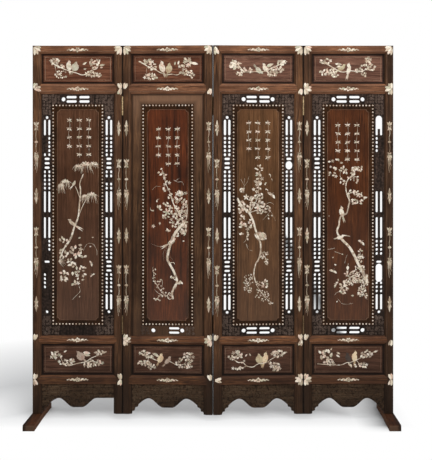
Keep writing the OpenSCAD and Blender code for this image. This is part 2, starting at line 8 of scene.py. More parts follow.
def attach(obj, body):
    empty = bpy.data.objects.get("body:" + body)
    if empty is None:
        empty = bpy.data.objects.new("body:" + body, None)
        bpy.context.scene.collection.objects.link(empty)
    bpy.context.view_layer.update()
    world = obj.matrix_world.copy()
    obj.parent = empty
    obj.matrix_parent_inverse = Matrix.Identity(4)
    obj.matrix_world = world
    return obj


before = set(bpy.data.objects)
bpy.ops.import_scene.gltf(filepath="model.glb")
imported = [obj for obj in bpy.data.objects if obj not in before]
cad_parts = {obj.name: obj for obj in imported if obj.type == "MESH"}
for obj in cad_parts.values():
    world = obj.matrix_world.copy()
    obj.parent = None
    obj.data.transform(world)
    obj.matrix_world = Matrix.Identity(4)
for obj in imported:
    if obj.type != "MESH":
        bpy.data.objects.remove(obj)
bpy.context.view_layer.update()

# The four leaves as they stand, in millimetres: the outer two in line, the middle two folded
# a little forward at their shared hinge, and all of them on legs that end at the feet's tops.
MM = 0.001
LEAF_W = 440.0
LEAF_GAP = 0.2
FRAME_T = 32.0
PIN_PROUD = 4.0
FOOT_H = 28.0
REST_FOLD = math.radians(3.0)
AXIS_X = (LEAF_W + LEAF_GAP) / 2
AXIS_Y = FRAME_T / 2 + PIN_PROUD
SIDE_AXIS_X = 2 * (AXIS_X * math.cos(REST_FOLD) + AXIS_Y * math.sin(REST_FOLD))
LEAF_NUMBERS = (1, 2, 3, 4)


def leaf_place(k):
    """Where leaf k stands, from its middle at its leg bottoms."""
    side = -1 if k < 3 else 1
    if k in (1, 4):
        return Matrix.Translation((side * (SIDE_AXIS_X + AXIS_X), 0, FOOT_H))
    hinge = Matrix.Translation((side * SIDE_AXIS_X, -AXIS_Y, FOOT_H))
    fold = Matrix.Rotation(side * REST_FOLD, 4, "Z")
    return hinge @ fold @ Matrix.Translation((-side * AXIS_X, AXIS_Y, 0))


# The frame's wood is old waxed rosewood, brown with darker streaks and open pores. Painted
# shade darkens it towards the floor and in the joints between leaves, and dirt with painted
# shade lies at the foot of the mouldings and in the panels' margins. One shader group draws
# the figure of every wood, another finds a point's place in its leaf.
def srgb(r, g, b):
    """A colour from the usual 0 to 255 values to linear light."""
    linear = [c / 255 / 12.92 if c <= 10 else ((c / 255 + 0.055) / 1.055) ** 2.4 for c in (r, g, b)]
    return (*linear, 1.0)


def grey(value):
    return (value, value, value, 1.0)


BLACK, WHITE = grey(0.0), grey(1.0)


def plug(tree, node, inputs):
    """Fills a node's inputs with numbers, colours or other nodes' outputs."""
    for key, value in inputs.items():
        if isinstance(value, bpy.types.NodeSocket):
            tree.links.new(value, node.inputs[key])
        else:
            node.inputs[key].default_value = value


def put(tree, kind, inputs=None, **settings):
    """A new node with its settings and its inputs."""
    node = tree.nodes.new(kind)
    for name, value in settings.items():
        setattr(node, name, value)
    plug(tree, node, inputs or {})
    return node


def group_tree(kind, name, inputs, outputs):
    """A node group with named sockets, and its input and output nodes."""
    tree = bpy.data.node_groups.new(name, kind)
    for socket, (socket_type, value) in inputs.items():
        made = tree.interface.new_socket(socket, in_out="INPUT", socket_type=socket_type)
        if value is not None:
            made.default_value = value
    for socket, socket_type in outputs.items():
        tree.interface.new_socket(socket, in_out="OUTPUT", socket_type=socket_type)
    return tree, tree.nodes.new("NodeGroupInput"), tree.nodes.new("NodeGroupOutput")


def ramp(tree, factor, stops):
    node = put(tree, "ShaderNodeValToRGB", {"Fac": factor})
    first, last = node.color_ramp.elements[0], node.color_ramp.elements[-1]
    first.position, first.color = stops[0]
    last.position, last.color = stops[-1]
    for position, color in stops[1:-1]:
        node.color_ramp.elements.new(position).color = color
    return node.outputs["Color"]


def blend_colors(tree, factor, a, b, mode="MIX"):
    return put(tree, "ShaderNodeMix", {0: factor, 6: a, 7: b}, data_type="RGBA", blend_type=mode).outputs[2]


def arithmetic(tree, operation, a, b=0.0):
    return put(tree, "ShaderNodeMath", {0: a, 1: b}, operation=operation).outputs[0]


def times(tree, a, b):
    return arithmetic(tree, "MULTIPLY", a, b)


def plus(tree, a, b):
    return arithmetic(tree, "ADD", a, b)


def minus(tree, a, b):
    return arithmetic(tree, "SUBTRACT", a, b)


def between(tree, value, start, end, low=0.0, high=1.0):
    """What goes evenly from low to high while a value goes from start to end."""
    return put(tree, "ShaderNodeMapRange", {
        "Value": value, "From Min": start, "From Max": end, "To Min": low, "To Max": high,
    }).outputs[0]


def noise(tree, place, scale, detail=2.0, roughness=0.5, distortion=0.0):
    return put(tree, "ShaderNodeTexNoise", {
        "Vector": place, "Scale": scale, "Detail": detail, "Roughness": roughness, "Distortion": distortion,
    }).outputs["Fac"]


def vector(tree, x, y, z):
    return put(tree, "ShaderNodeCombineXYZ", {"X": x, "Y": y, "Z": z}).outputs[0]


def along_axis(tree, place, axis):
    """A point's X, Y or Z."""
    return put(tree, "ShaderNodeSeparateXYZ", {0: place}).outputs[axis]


leaf_frame, frame_in, frame_out = group_tree(
    "ShaderNodeTree", "leaf_frame", {"Place": ("NodeSocketVector", None)},
    {"Across": "NodeSocketFloat", "Depth": "NodeSocketFloat", "Joint": "NodeSocketFloat"},
)
from_centre = arithmetic(leaf_frame, "ABSOLUTE", along_axis(leaf_frame, frame_in.outputs["Place"], "X"))
place_right = vector(leaf_frame, from_centre, along_axis(leaf_frame, frame_in.outputs["Place"], "Y"), 0.0)
on_outer_leaf = arithmetic(leaf_frame, "GREATER_THAN", from_centre, SIDE_AXIS_X * MM)


def along_leaf(axis):
    """How far a point lies along an axis of its own leaf, from the leaf's middle."""
    distances = []
    for k in (3, 4):
        direction = leaf_place(k).to_3x3() @ Vector(axis)
        reach = put(leaf_frame, "ShaderNodeVectorMath", {
            0: place_right, 1: direction,
        }, operation="DOT_PRODUCT")
        start = direction.dot(leaf_place(k).translation * MM)
        distances.append(minus(leaf_frame, reach.outputs["Value"], start))
    inner, outer = distances
    return put(leaf_frame, "ShaderNodeMix", {"Factor": on_outer_leaf, "A": inner, "B": outer}).outputs[0]


from_hinge = minus(leaf_frame, from_centre, SIDE_AXIS_X * MM)
side_joint = arithmetic(leaf_frame, "ABSOLUTE", from_hinge)
plug(leaf_frame, frame_out, {
    "Across": arithmetic(leaf_frame, "ABSOLUTE", along_leaf((1, 0, 0))),
    "Depth": along_leaf((0, -1, 0)),
    "Joint": arithmetic(leaf_frame, "MINIMUM", from_centre, side_joint),
})

wood_figure, figure_in, figure_out = group_tree(
    "ShaderNodeTree", "wood_figure",
    {
        "Grain": ("NodeSocketVector", None), "Place": ("NodeSocketVector", None),
        "Dark": ("NodeSocketColor", BLACK), "Middle": ("NodeSocketColor", BLACK),
        "Light": ("NodeSocketColor", WHITE), "Streaks": ("NodeSocketFloat", 55.0),
        "Pores": ("NodeSocketFloat", 900.0), "Dirt and shade full": ("NodeSocketFloat", 0.0),
        "Dirt and shade clear": ("NodeSocketFloat", 0.0001),
    },
    {"Color": "NodeSocketColor", "Height": "NodeSocketFloat", "Wear": "NodeSocketFloat"},
)
# Distances here are in metres: painted shade over the floor and in the leaves' joints, dirt
# with painted shade in the low places of the front, as far out as the moulding goes.
FLOOR_SHADE = ((0.05, 1.5), (0.1, 0.4))
FLOOR_SHADE_DEPTH = 0.4
JOINT_SHADE = (0.002, 0.0062)
DIRT_AND_SHADE_HALF_W = 0.2
wood_grain, wood_place = figure_in.outputs["Grain"], figure_in.outputs["Place"]
fibre_scale = times(wood_figure, figure_in.outputs["Streaks"], 4.5)
streaks = noise(wood_figure, wood_grain, figure_in.outputs["Streaks"], 5.0, 0.62, 0.5)
cloud = noise(wood_figure, wood_place, 7.0)
fibres = noise(wood_figure, wood_grain, fibre_scale, 3.0, 0.6)
pores = noise(wood_figure, wood_grain, figure_in.outputs["Pores"], 1.0)
streak_mask = ramp(wood_figure, streaks, [(0.36, BLACK), (0.52, grey(0.55)), (0.66, WHITE)])
fibre_mask = ramp(wood_figure, fibres, [(0.42, BLACK), (0.68, WHITE)])
cloud_mask = ramp(wood_figure, cloud, [(0.35, BLACK), (0.65, WHITE)])
pore_mask = ramp(wood_figure, pores, [(0.30, WHITE), (0.42, BLACK)])
lit_part = times(wood_figure, fibre_mask, cloud_mask)
dark_pores = times(wood_figure, pore_mask, 0.45)
# Painted shade: the wood darkens towards the floor.
floor_distance = along_axis(wood_figure, wood_place, "Z")
floor_shades = [between(wood_figure, floor_distance, *ends, FLOOR_SHADE_DEPTH, 0.0) for ends in FLOOR_SHADE]
floor_shade = plus(wood_figure, *floor_shades)
in_leaf = put(wood_figure, "ShaderNodeGroup", {"Place": wood_place}, node_tree=leaf_frame).outputs
# Dirt with painted shade in the low places of the front.
sunk = between(
    wood_figure, in_leaf["Depth"], figure_in.outputs["Dirt and shade full"], figure_in.outputs["Dirt and shade clear"], 0.85, 0.0,
)
in_opening = arithmetic(wood_figure, "LESS_THAN", in_leaf["Across"], DIRT_AND_SHADE_HALF_W)
in_front = arithmetic(wood_figure, "GREATER_THAN", in_leaf["Depth"])
sunk = times(wood_figure, times(wood_figure, sunk, in_opening), in_front)
# Painted shade in the joints between the leaves.
in_joint = between(wood_figure, in_leaf["Joint"], *JOINT_SHADE, 0.9, 0.0)
dirt_and_shade = arithmetic(wood_figure, "MAXIMUM", sunk, in_joint)
tone = blend_colors(wood_figure, streak_mask, figure_in.outputs["Dark"], figure_in.outputs["Middle"])
for mask, color in (
    (lit_part, figure_in.outputs["Light"]), (dark_pores, (0.012, 0.007, 0.004, 1)),
    (floor_shade, (0.014, 0.009, 0.006, 1)), (dirt_and_shade, (0.006, 0.004, 0.003, 1)),
):
    tone = blend_colors(wood_figure, mask, tone, color)
pore_depth = times(wood_figure, pore_mask, -0.8)
height = plus(wood_figure, times(wood_figure, fibres, 0.5), pore_depth)
plug(wood_figure, figure_out, {"Color": tone, "Height": height, "Wear": streak_mask})

GRAIN_STRETCH = 0.05
FIGURE_DEPTH = 0.0006
WAX_GLOSS = 0.07
NO_DIRT_OR_SHADE = (0.0, 0.0001)
MOULDING_FOOT = (0.0071, 0.0096)
PANEL_MARGIN = (0.0035, 0.0052)


def new_material(name):
    """A material, its nodes, its shader and the places that its pattern reads."""
    material = bpy.data.materials.new(name)
    material.use_nodes = True
    tree = material.node_tree
    return material, tree, tree.nodes["Principled BSDF"], put(tree, "ShaderNodeTexCoord").outputs["Object"]


def hardwood(name, tones, along, polish=0.48, streaks=55.0, relief=None, dirt_and_shade=NO_DIRT_OR_SHADE):
    """Waxed wood, grain along x, y or z; relief adds carving, wear or painted light; dirt and painted shade
    lie low.
    """
    material, tree, shader, place = new_material(name)
    dark, middle, light = (srgb(*tone) for tone in tones)
    stretch = tuple(GRAIN_STRETCH if axis == along else 1.0 for axis in "xyz")
    grain = put(tree, "ShaderNodeMapping", {"Vector": place, "Scale": stretch}).outputs[0]
    figure = put(tree, "ShaderNodeGroup", {
        "Grain": grain, "Place": place, "Dark": dark, "Middle": middle, "Light": light,
        "Streaks": streaks, "Dirt and shade full": dirt_and_shade[0], "Dirt and shade clear": dirt_and_shade[1],
    }, node_tree=wood_figure).outputs
    color, height, depth = figure["Color"], figure["Height"], FIGURE_DEPTH
    if relief:
        color, height, depth = relief(tree, place, color, height)
    bump = put(tree, "ShaderNodeBump", {"Height": height, "Strength": 0.6, "Distance": depth}).outputs[0]
    roughness = between(tree, figure["Wear"], 0.0, 1.0, polish + 0.1, polish - 0.04)
    plug(tree, shader, {
        "Base Color": color, "Roughness": roughness, "Specular IOR Level": WAX_GLOSS, "Normal": bump,
    })
    return material


def paint_nodes(names, material):
    for name in names:
        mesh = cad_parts[name].data
        mesh.materials.clear()
        mesh.materials.append(material)


STILE_W = 44.0
STILE_TONES = ((50, 32, 21), (89, 60, 41), (126, 87, 58))
STILE_SHADES = {"left": (1.0, 0.88, 1.0, 0.84), "right": (0.96, 0.92, 1.04, 0.76)}
for side, shades in STILE_SHADES.items():
    for k, shade in zip(LEAF_NUMBERS, shades):
        tones = [[c * shade for c in tone] for tone in STILE_TONES]
        stile_wood = hardwood(f"{side}_stile_rosewood_{k}", tones, "z", dirt_and_shade=MOULDING_FOOT)
        paint_nodes([f"{side}_stile_{k}"], stile_wood)

# The rails are tenoned into the stiles. They are sawn from redder stock and catch more light,
# the two upper ones most.
RAILS = {
    "bottom": (146.0, 190.0), "lower": (340.0, 383.0),
    "upper": (1563.0, 1615.0), "top": (1760.0, 1800.0),
}
RAIL_TONES = {
    ("top", "upper"): ((80, 50, 34), (122, 84, 62), (164, 112, 78)),
    ("bottom", "lower"): ((64, 38, 25), (115, 74, 52), (168, 113, 73)),
}
for rails, tones in RAIL_TONES.items():
    rail_wood = hardwood(f"{rails[1]}_rail_rosewood", tones, "x", dirt_and_shade=MOULDING_FOOT)
    paint_nodes([f"{rail}_rail_{k}" for rail in rails for k in LEAF_NUMBERS], rail_wood)

# The small panels are quarter-sawn boards with the grain across; the centre panels are tall
# boards, each leaf's from another plank, from red brown to olive.
SMALL_PANEL_TONES = {
    ("upper_panel_1", "upper_panel_2"): ((66, 36, 24), (104, 63, 44), (138, 91, 67)),
    ("upper_panel_3", "upper_panel_4"): ((72, 45, 35), (110, 75, 60), (146, 106, 87)),
    tuple(f"lower_panel_{k}" for k in LEAF_NUMBERS): ((60, 36, 26), (98, 65, 49), (134, 95, 76)),
}
for names, tones in SMALL_PANEL_TONES.items():
    paint_nodes(names, hardwood(f"rosewood_{names[0]}", tones, "x", dirt_and_shade=PANEL_MARGIN))


def dusty_foot(tree, place, color, height):
    """Dust that has dulled a tall board towards its bottom."""
    dust = between(tree, along_axis(tree, place, "Z"), 0.4, 1.1, 0.15, 0.0)
    return blend_colors(tree, dust, color, srgb(128, 104, 92)), height, FIGURE_DEPTH


CENTRE_TONES = {
    1: ((60, 36, 22), (86, 55, 37), (104, 70, 50)),
    2: ((38, 20, 12), (88, 44, 24), (120, 62, 33)),
    3: ((68, 45, 25), (98, 65, 40), (121, 84, 54)),
    4: ((51, 25, 12), (82, 43, 20), (107, 61, 32)),
}
for k, tones in CENTRE_TONES.items():
    board_wood = hardwood(f"centre_board_{k}", tones, "z", 0.42, 42.0, dusty_foot)
    paint_nodes([f"centre_panel_{k}"], board_wood)

# The fretwork, beaded frames and aprons are stained nearly black. The fretwork and the aprons
# are carved, with tool marks in the material and scrolls that are modelled. The second leaf
# has plain mitred strips at its sides and top instead, hollowed along both edges. That hollow
# is painted: painted shade along the edges, painted highlight towards the top, bottom and inside.
OPENING_W = LEAF_W - 2 * STILE_W
OPENINGS = {
    "lower": (RAILS["bottom"][1], RAILS["lower"][0]), "main": (RAILS["lower"][1], RAILS["upper"][0]),
    "upper": (RAILS["upper"][1], RAILS["top"][0]),
}
STRIP_W = 49.0
STRIP_TOP = OPENINGS["main"][1] + FOOT_H
CARVING_SCALE = 95.0
GOUGE_DEPTH = 0.0022
OLD_WAX_AND_SHADE = srgb(16, 12, 9)
HOLLOW_SHADE = [(0.0, grey(0.8)), (0.11, grey(0.6)), (0.2, BLACK), (0.58, BLACK), (0.95, grey(0.5))]
gouge_marks, marks_in, marks_out = group_tree(
    "ShaderNodeTree", "gouge_marks", {"Place": ("NodeSocketVector", None)}, {"Hollow": "NodeSocketColor"},
)
cells = put(gouge_marks, "ShaderNodeTexVoronoi", {
    "Vector": marks_in.outputs["Place"], "Scale": CARVING_SCALE, "Randomness": 0.9,
}, feature="SMOOTH_F1").outputs["Distance"]
plug(gouge_marks, marks_out, {"Hollow": ramp(gouge_marks, cells, [(0.18, BLACK), (0.6, WHITE)])})


def carved(tree, place, color, height):
    """Shallow gouge marks with dark wax in their hollows."""
    hollow = put(tree, "ShaderNodeGroup", {"Place": place}, node_tree=gouge_marks).outputs["Hollow"]
    waxed = blend_colors(tree, times(tree, hollow, 0.7), color, OLD_WAX_AND_SHADE)
    deep = times(tree, hollow, -1.6)
    return waxed, plus(tree, height, deep), GOUGE_DEPTH


def carved_fret(tree, place, color, height):
    """The fretwork has the same gouge marks, and painted shade darkens it towards the floor."""
    waxed, height, depth = carved(tree, place, color, height)
    # Painted shade: darker towards the floor.
    low = between(tree, along_axis(tree, place, "Z"), 1.6, 0.4, high=0.38)
    return blend_colors(tree, low, waxed, OLD_WAX_AND_SHADE), height, depth


def painted_hollow_strip(tree, place, color, height):
    """Painted shade along both edges for the hollow, and painted highlight towards the top, at the bottom and
    on the inner side.
    """
    level = along_axis(tree, place, "Z")
    from_middle = put(tree, "ShaderNodeGroup", {"Place": place}, node_tree=leaf_frame).outputs["Across"]
    from_side = minus(tree, OPENING_W / 2 * MM, from_middle)
    from_top = minus(tree, STRIP_TOP * MM, level)
    from_edge = arithmetic(tree, "MINIMUM", from_side, from_top)
    # Painted shade along both edges and under the upper rail.
    shade = ramp(tree, arithmetic(tree, "DIVIDE", from_edge, STRIP_W * MM), HOLLOW_SHADE)
    # Painted highlight towards the top, at the bottom and on the inner side.
    highlight_amount = 0.0
    for value, start, end, amount in (
        (level, 1.2, 1.45, 0.12), (level, 1.45, 1.54, 0.22), (level, 0.62, 0.5, 0.08),
        (from_middle, 0.16, 0.08, 0.12),
    ):
        highlight_amount = plus(tree, highlight_amount, between(tree, value, start, end, high=amount))
    highlighted = blend_colors(tree, highlight_amount, color, srgb(158, 120, 94))
    return blend_colors(tree, shade, highlighted, srgb(24, 14, 9)), height, FIGURE_DEPTH


fret_wood = hardwood(
    "fretwork_dark_wood", ((42, 32, 27), (72, 56, 48), (104, 83, 72)), "z", 0.5, relief=carved_fret,
)
plain_fret_wood = hardwood(
    "plain_strip_rosewood", ((47, 31, 20), (80, 54, 36), (110, 78, 52)), "z", relief=painted_hollow_strip,
)
apron_wood = hardwood(
    "apron_dark_wood", ((65, 47, 33), (132, 98, 70), (177, 136, 103)), "x", 0.5, relief=carved,
)
bead_frame_wood = hardwood("bead_frame_dark_wood", ((24, 13, 4), (47, 26, 9), (80, 48, 22)), "z")
paint_nodes([f"fretwork_{k}" for k in (1, 3, 4)], fret_wood)
paint_nodes(["fretwork_2"], plain_fret_wood)
paint_nodes([f"apron_{k}" for k in LEAF_NUMBERS], apron_wood)
paint_nodes([f"bead_frame_{k}" for k in LEAF_NUMBERS], bead_frame_wood)

# The feet are solid blocks of reddish wood with the grain front to back, mortised for the
# outer stiles. Their faces are painted lighter or darker by which way they look, and their
# outer edges carry painted shade.
FOOT_EDGE_SHADE = (0.868 ** 2, 0.878 ** 2)


def painted_foot_light(tree, place, color, height):
    """Painted light and shade by which way a face looks, and painted shade along the outer edge."""
    normal = put(tree, "ShaderNodeTexCoord").outputs["Normal"]
    sideways, across = along_axis(tree, normal, "X"), along_axis(tree, place, "X")
    for value, (start, end), amount, tone in (
        (times(tree, sideways, sideways), (0.2, 0.8), 0.2, (150, 108, 80)),
        (times(tree, along_axis(tree, normal, "Y"), -1.0), (0.3, 0.9), 0.5, (94, 76, 62)),
        (times(tree, across, across), FOOT_EDGE_SHADE, 0.7, (22, 15, 10)),
    ):
        color = blend_colors(tree, between(tree, value, start, end, high=amount), color, srgb(*tone))
    return color, height, FIGURE_DEPTH


foot_wood = hardwood("foot_rosewood", ((76, 34, 10), (128, 66, 26), (170, 98, 46)), "y", 0.85, relief=painted_foot_light)
paint_nodes(["foot_left", "foot_right"], foot_wood)

# The hinges are cast brass, their plates let into the stiles' sides. The brass is brown in
# its hollows and yellow where it is rubbed; painted shade darkens the lower hinges.
hinge_brass, brass_tree, brass_shader, brass_place = new_material("aged_brass")
brass_cloud = noise(brass_tree, brass_place, 160.0, 4.0)
brass_tone = ramp(brass_tree, brass_cloud, [(0.3, srgb(104, 82, 56)), (0.62, srgb(232, 204, 158))])
# Painted shade: the brass darkens towards the floor.
low_hinge_shade = between(brass_tree, along_axis(brass_tree, brass_place, "Z"), 1.2, 0.8, 0.35, 0.85)
plug(brass_tree, brass_shader, {
    "Base Color": blend_colors(brass_tree, low_hinge_shade, brass_tone, srgb(78, 58, 40)), "Metallic": 1.0,
    "Roughness": between(brass_tree, brass_cloud, 0.0, 1.0, 0.65, 0.45),
})
paint_nodes([f"hinge_plates_{k}" for k in LEAF_NUMBERS], hinge_brass)
paint_nodes(["hinge_pins_left", "hinge_pins_right"], hinge_brass)

# Mother-of-pearl: slices of shell, cream with drifts of pink and green, fine growth lines
# and a polished face. It makes the beads and every inlay.
shell_shimmer, shimmer_in, shimmer_out = group_tree(
    "ShaderNodeTree", "shell_shimmer",
    {
        "Place": ("NodeSocketVector", None), "Patch": ("NodeSocketFloat", 70.0),
        "Tint": ("NodeSocketFloat", 0.0), "Age": ("NodeSocketFloat", 0.5), "Cast": ("NodeSocketColor", WHITE),
    },
    {"Color": "NodeSocketColor", "Height": "NodeSocketFloat", "Roughness": "NodeSocketFloat"},
)
shell_place = shimmer_in.outputs["Place"]
patch = put(shell_shimmer, "ShaderNodeTexVoronoi", {
    "Vector": shell_place, "Scale": shimmer_in.outputs["Patch"],
}).outputs["Color"]
patch_value = put(shell_shimmer, "ShaderNodeSeparateColor", {"Color": patch}).outputs["Red"]
patch_value = times(shell_shimmer, patch_value, 0.5)
patch_value = plus(shell_shimmer, patch_value, shimmer_in.outputs["Tint"])
cell_tone = ramp(shell_shimmer, arithmetic(shell_shimmer, "FRACT", patch_value), [
    (0.0, srgb(116, 92, 68)), (0.16, srgb(182, 158, 128)), (0.34, srgb(240, 232, 212)),
    (0.54, srgb(252, 246, 232)), (0.68, srgb(220, 180, 160)), (0.8, srgb(172, 178, 148)),
    (0.92, srgb(130, 108, 84)), (1.0, srgb(232, 212, 182)),
])
drift = noise(shell_shimmer, shell_place, 110.0, distortion=1.2)
drift_tone = ramp(shell_shimmer, drift, [
    (0.3, srgb(190, 200, 176)), (0.45, srgb(238, 230, 212)),
    (0.6, srgb(222, 192, 176)), (0.75, srgb(176, 156, 128)),
])
growth = put(shell_shimmer, "ShaderNodeTexWave", {
    "Vector": shell_place, "Scale": 90.0, "Distortion": 9.0, "Detail": 1.0,
}, bands_direction="DIAGONAL").outputs["Fac"]
growth_mask = ramp(shell_shimmer, growth, [(0.05, WHITE), (0.2, BLACK)])
growth_lines = times(shell_shimmer, growth_mask, 0.35)
shell_tone = blend_colors(shell_shimmer, 0.3, cell_tone, drift_tone)
shell_tone = blend_colors(shell_shimmer, growth_lines, shell_tone, srgb(120, 96, 76))
for amount, tone in ((shimmer_in.outputs["Age"], srgb(196, 170, 146)), (1.0, shimmer_in.outputs["Cast"])):
    shell_tone = blend_colors(shell_shimmer, amount, shell_tone, tone, "MULTIPLY")
plug(shell_shimmer, shimmer_out, {
    "Color": shell_tone, "Height": growth, "Roughness": between(shell_shimmer, drift, 0.0, 1.0, 0.2, 0.42),
})


def shell(name, patch_scale, age, cast=(255, 255, 255)):
    """Shell in patches of a size, dulled by age and with a cast of its own."""
    material, tree, shader, place = new_material(name)
    tint = put(tree, "ShaderNodeAttribute", attribute_name="tint").outputs["Fac"]
    shimmer = put(tree, "ShaderNodeGroup", {
        "Place": place, "Tint": tint, "Patch": patch_scale, "Age": age, "Cast": srgb(*cast),
    }, node_tree=shell_shimmer).outputs
    bump = put(tree, "ShaderNodeBump", {"Height": shimmer["Height"], "Strength": 0.25, "Distance": 0.0004})
    plug(tree, shader, {
        "Base Color": shimmer["Color"], "Roughness": shimmer["Roughness"], "Normal": bump.outputs[0],
        "Specular IOR Level": 0.4, "Coat Weight": 0.15, "Coat Roughness": 0.15,
    })
    return material


bead_shell = shell("bead_shell", 60.0, 0.3, (250, 246, 250))
paint_nodes([f"pearl_beads_{k}" for k in LEAF_NUMBERS], bead_shell)


# Inlay is drawn in millimetres on a leaf's face, u to the right of its middle, v up from its
# leg bottoms, h out of its front. A chip of shell is an outline with a low crown, a sliver a
# tapering strip with a ridge. Both are let in, their rims sunk, and stand a little proud.
CHIP_RISE = 0.9
RIM_SUNK = -0.4
CROWN_SIZE, CROWN_LEVEL = 0.82, 0.75
TINT_STEP = 0.37


def face_place(k, depth):
    """From face drawing to the scene, for a face so deep behind the middle of the leaf's thickness."""
    stand_up = Matrix.Rotation(math.pi / 2, 4, "X")
    return Matrix.Scale(MM, 4) @ leaf_place(k) @ Matrix.Translation((0, depth, 0)) @ stand_up


def new_object(name, mesh):
    made = bpy.data.objects.new(name, mesh)
    bpy.context.scene.collection.objects.link(made)
    return made


def fix_on_leaf(piece, k):
    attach(piece, f"leaf_{k}")


def turned(points, angle, u, v, scale=1.0):
    c, s = math.cos(angle) * scale, math.sin(angle) * scale
    return [(u + x * c - y * s, v + x * s + y * c) for x, y in points]


def leaf_outline(length, width, points=5):
    """A pointed leaf from its stalk at the origin along +x."""
    shares = [i / points for i in range(points + 1)]
    upper = [(length * t, width / 2 * math.sin(math.pi * t ** 0.8)) for t in shares]
    return upper[:-1] + [(length, 0.0)] + [(x, -y) for x, y in reversed(upper[1:-1])]


def oval(half_w, half_h, half_count):
    """An even number of points on an oval round the origin."""
    angles = [i * math.pi / half_count for i in range(2 * half_count)]
    return [(half_w * math.cos(a), half_h * math.sin(a)) for a in angles]


def curve_path(stops, steps=5):
    """A smooth path through a few stops."""
    path = []
    for i in range(len(stops) - 1):
        p0, p1 = stops[max(i - 1, 0)], stops[i]
        p2, p3 = stops[i + 1], stops[min(i + 2, len(stops) - 1)]
        for step in range(steps):
            t = step / steps
            path.append(tuple(
                0.5 * (2 * p1[a] + (p2[a] - p0[a]) * t + (2 * p0[a] - 5 * p1[a] + 4 * p2[a] - p3[a]) * t ** 2
                       + (3 * p1[a] - p0[a] - 3 * p2[a] + p3[a]) * t ** 3)
                for a in (0, 1)
            ))
    return path + [tuple(stops[-1])]


class Drawing:
    """Chips and slivers of one inlay, gathered in face millimetres."""

    def __init__(self):
        self.points = []
        self.faces = []
        self.tints = []

    def tint_new_points(self):
        """One tint for the chip just drawn, and another for the next."""
        tint = TINT_STEP * len(self.faces) % 1.0
        self.tints += [tint] * (len(self.points) - len(self.tints))

    def chip(self, outline, rise=CHIP_RISE):
        start, count = len(self.points), len(outline)
        cu = sum(p[0] for p in outline) / count
        cv = sum(p[1] for p in outline) / count
        self.points += [(u, v, RIM_SUNK) for u, v in outline]
        self.points += [
            (cu + (u - cu) * CROWN_SIZE, cv + (v - cv) * CROWN_SIZE, rise * CROWN_LEVEL) for u, v in outline
        ]
        self.points.append((cu, cv, rise))
        for i in range(count):
            j = (i + 1) % count
            self.faces.append((start + i, start + j, start + count + j, start + count + i))
            self.faces.append((start + count + i, start + count + j, start + 2 * count))
        self.tint_new_points()

    def leaf(self, length, width, heading, u, v, rise=CHIP_RISE):
        """A leaf-shaped chip with its stalk at a place."""
        self.chip(turned(leaf_outline(length, width), heading, u, v), rise)

    def sliver(self, path, width, tip, rise=CHIP_RISE):
        start, count = len(self.points), len(path)
        for i, (u, v) in enumerate(path):
            before, after = path[max(i - 1, 0)], path[min(i + 1, count - 1)]
            du, dv = after[0] - before[0], after[1] - before[1]
            length = math.hypot(du, dv) or 1.0
            half = (width + (tip - width) * i / (count - 1)) / 2
            nu, nv = -dv / length * half, du / length * half
            self.points += [(u - nu, v - nv, RIM_SUNK), (u, v, rise), (u + nu, v + nv, RIM_SUNK)]
        for i in range(count - 1):
            a, b = start + 3 * i, start + 3 * i + 3
            self.faces += [(a, b, b + 1, a + 1), (a + 1, b + 1, b + 2, a + 2)]
        last = start + 3 * (count - 1)
        self.faces += [(start, start + 1, start + 2), (last, last + 2, last + 1)]
        self.tint_new_points()

    def let_in(self, name, k, depth, material):
        """Makes the finished piece, fixed on leaf k."""
        mesh = bpy.data.meshes.new(name)
        mesh.from_pydata(self.points, [], self.faces)
        mesh.attributes.new("tint", "FLOAT", "POINT").data.foreach_set("value", self.tints)
        mesh.transform(face_place(k, depth))
        mesh.materials.append(material)
        mesh.update()
        fix_on_leaf(new_object(name, mesh), k)


# Corner leaves: at each end of every rail a half star of three shell pieces, each of two
# pointed lobes, is let into the stile with its root by the outer edge. The top corners have
# two pieces. Many pieces have come out of their beds.
FRAME_FACE = -FRAME_T / 2
FAN_ROOT_IN = 8.5
TOP_FAN_DOWN = 6.5
LOBE_W = 14.5
FAN_LOBES = {
    "up": ((87, 31.0), (60, 32.0)), "in": ((16, 35.0), (-16, 35.0)), "down": ((-87, 31.0), (-60, 32.0)),
    "top in": ((-6, 35.0), (-33, 38.0)), "top down": ((-87, 42.0), (-63, 43.0)),
}
FAN_PIECES = {
    (3, -1, "top"): ("top down",),
    (1, -1, "upper"): ("up", "in"), (1, 1, "upper"): ("up", "down"), (2, -1, "upper"): ("up",),
    (2, 1, "upper"): ("down",), (3, -1, "upper"): (), (3, 1, "upper"): ("down",),
    (1, -1, "lower"): ("up",), (1, 1, "lower"): (), (3, -1, "lower"): ("up",),
    (3, 1, "lower"): ("up", "down"), (4, -1, "lower"): ("up",), (4, 1, "lower"): ("down",),
    (1, -1, "bottom"): ("up", "down"), (1, 1, "bottom"): ("up", "down"), (2, -1, "bottom"): (),
    (2, 1, "bottom"): ("up",), (3, -1, "bottom"): ("in",), (4, 1, "bottom"): ("up", "down"),
}
bright_shell = shell("bright_shell", 40.0, 0.0, (255, 252, 247))


def lobe_outline(length, width):
    """A lobe that widens from its root and ends in a point."""
    shares = ((0.0, 0.3), (0.3, 0.46), (0.68, 0.5), (0.87, 0.3))
    side = [(length * t, width * w) for t, w in shares]
    return side + [(length, 0.0)] + [(x, -y) for x, y in reversed(side)]


def corner_fan(drawing, side, root_v, pieces):
    root_u = side * (LEAF_W / 2 - FAN_ROOT_IN)
    for piece in pieces:
        for angle, reach in FAN_LOBES[piece]:
            heading = math.radians(180 - angle if side > 0 else angle)
            drawing.chip(turned(lobe_outline(reach, LOBE_W), heading, root_u, root_v))


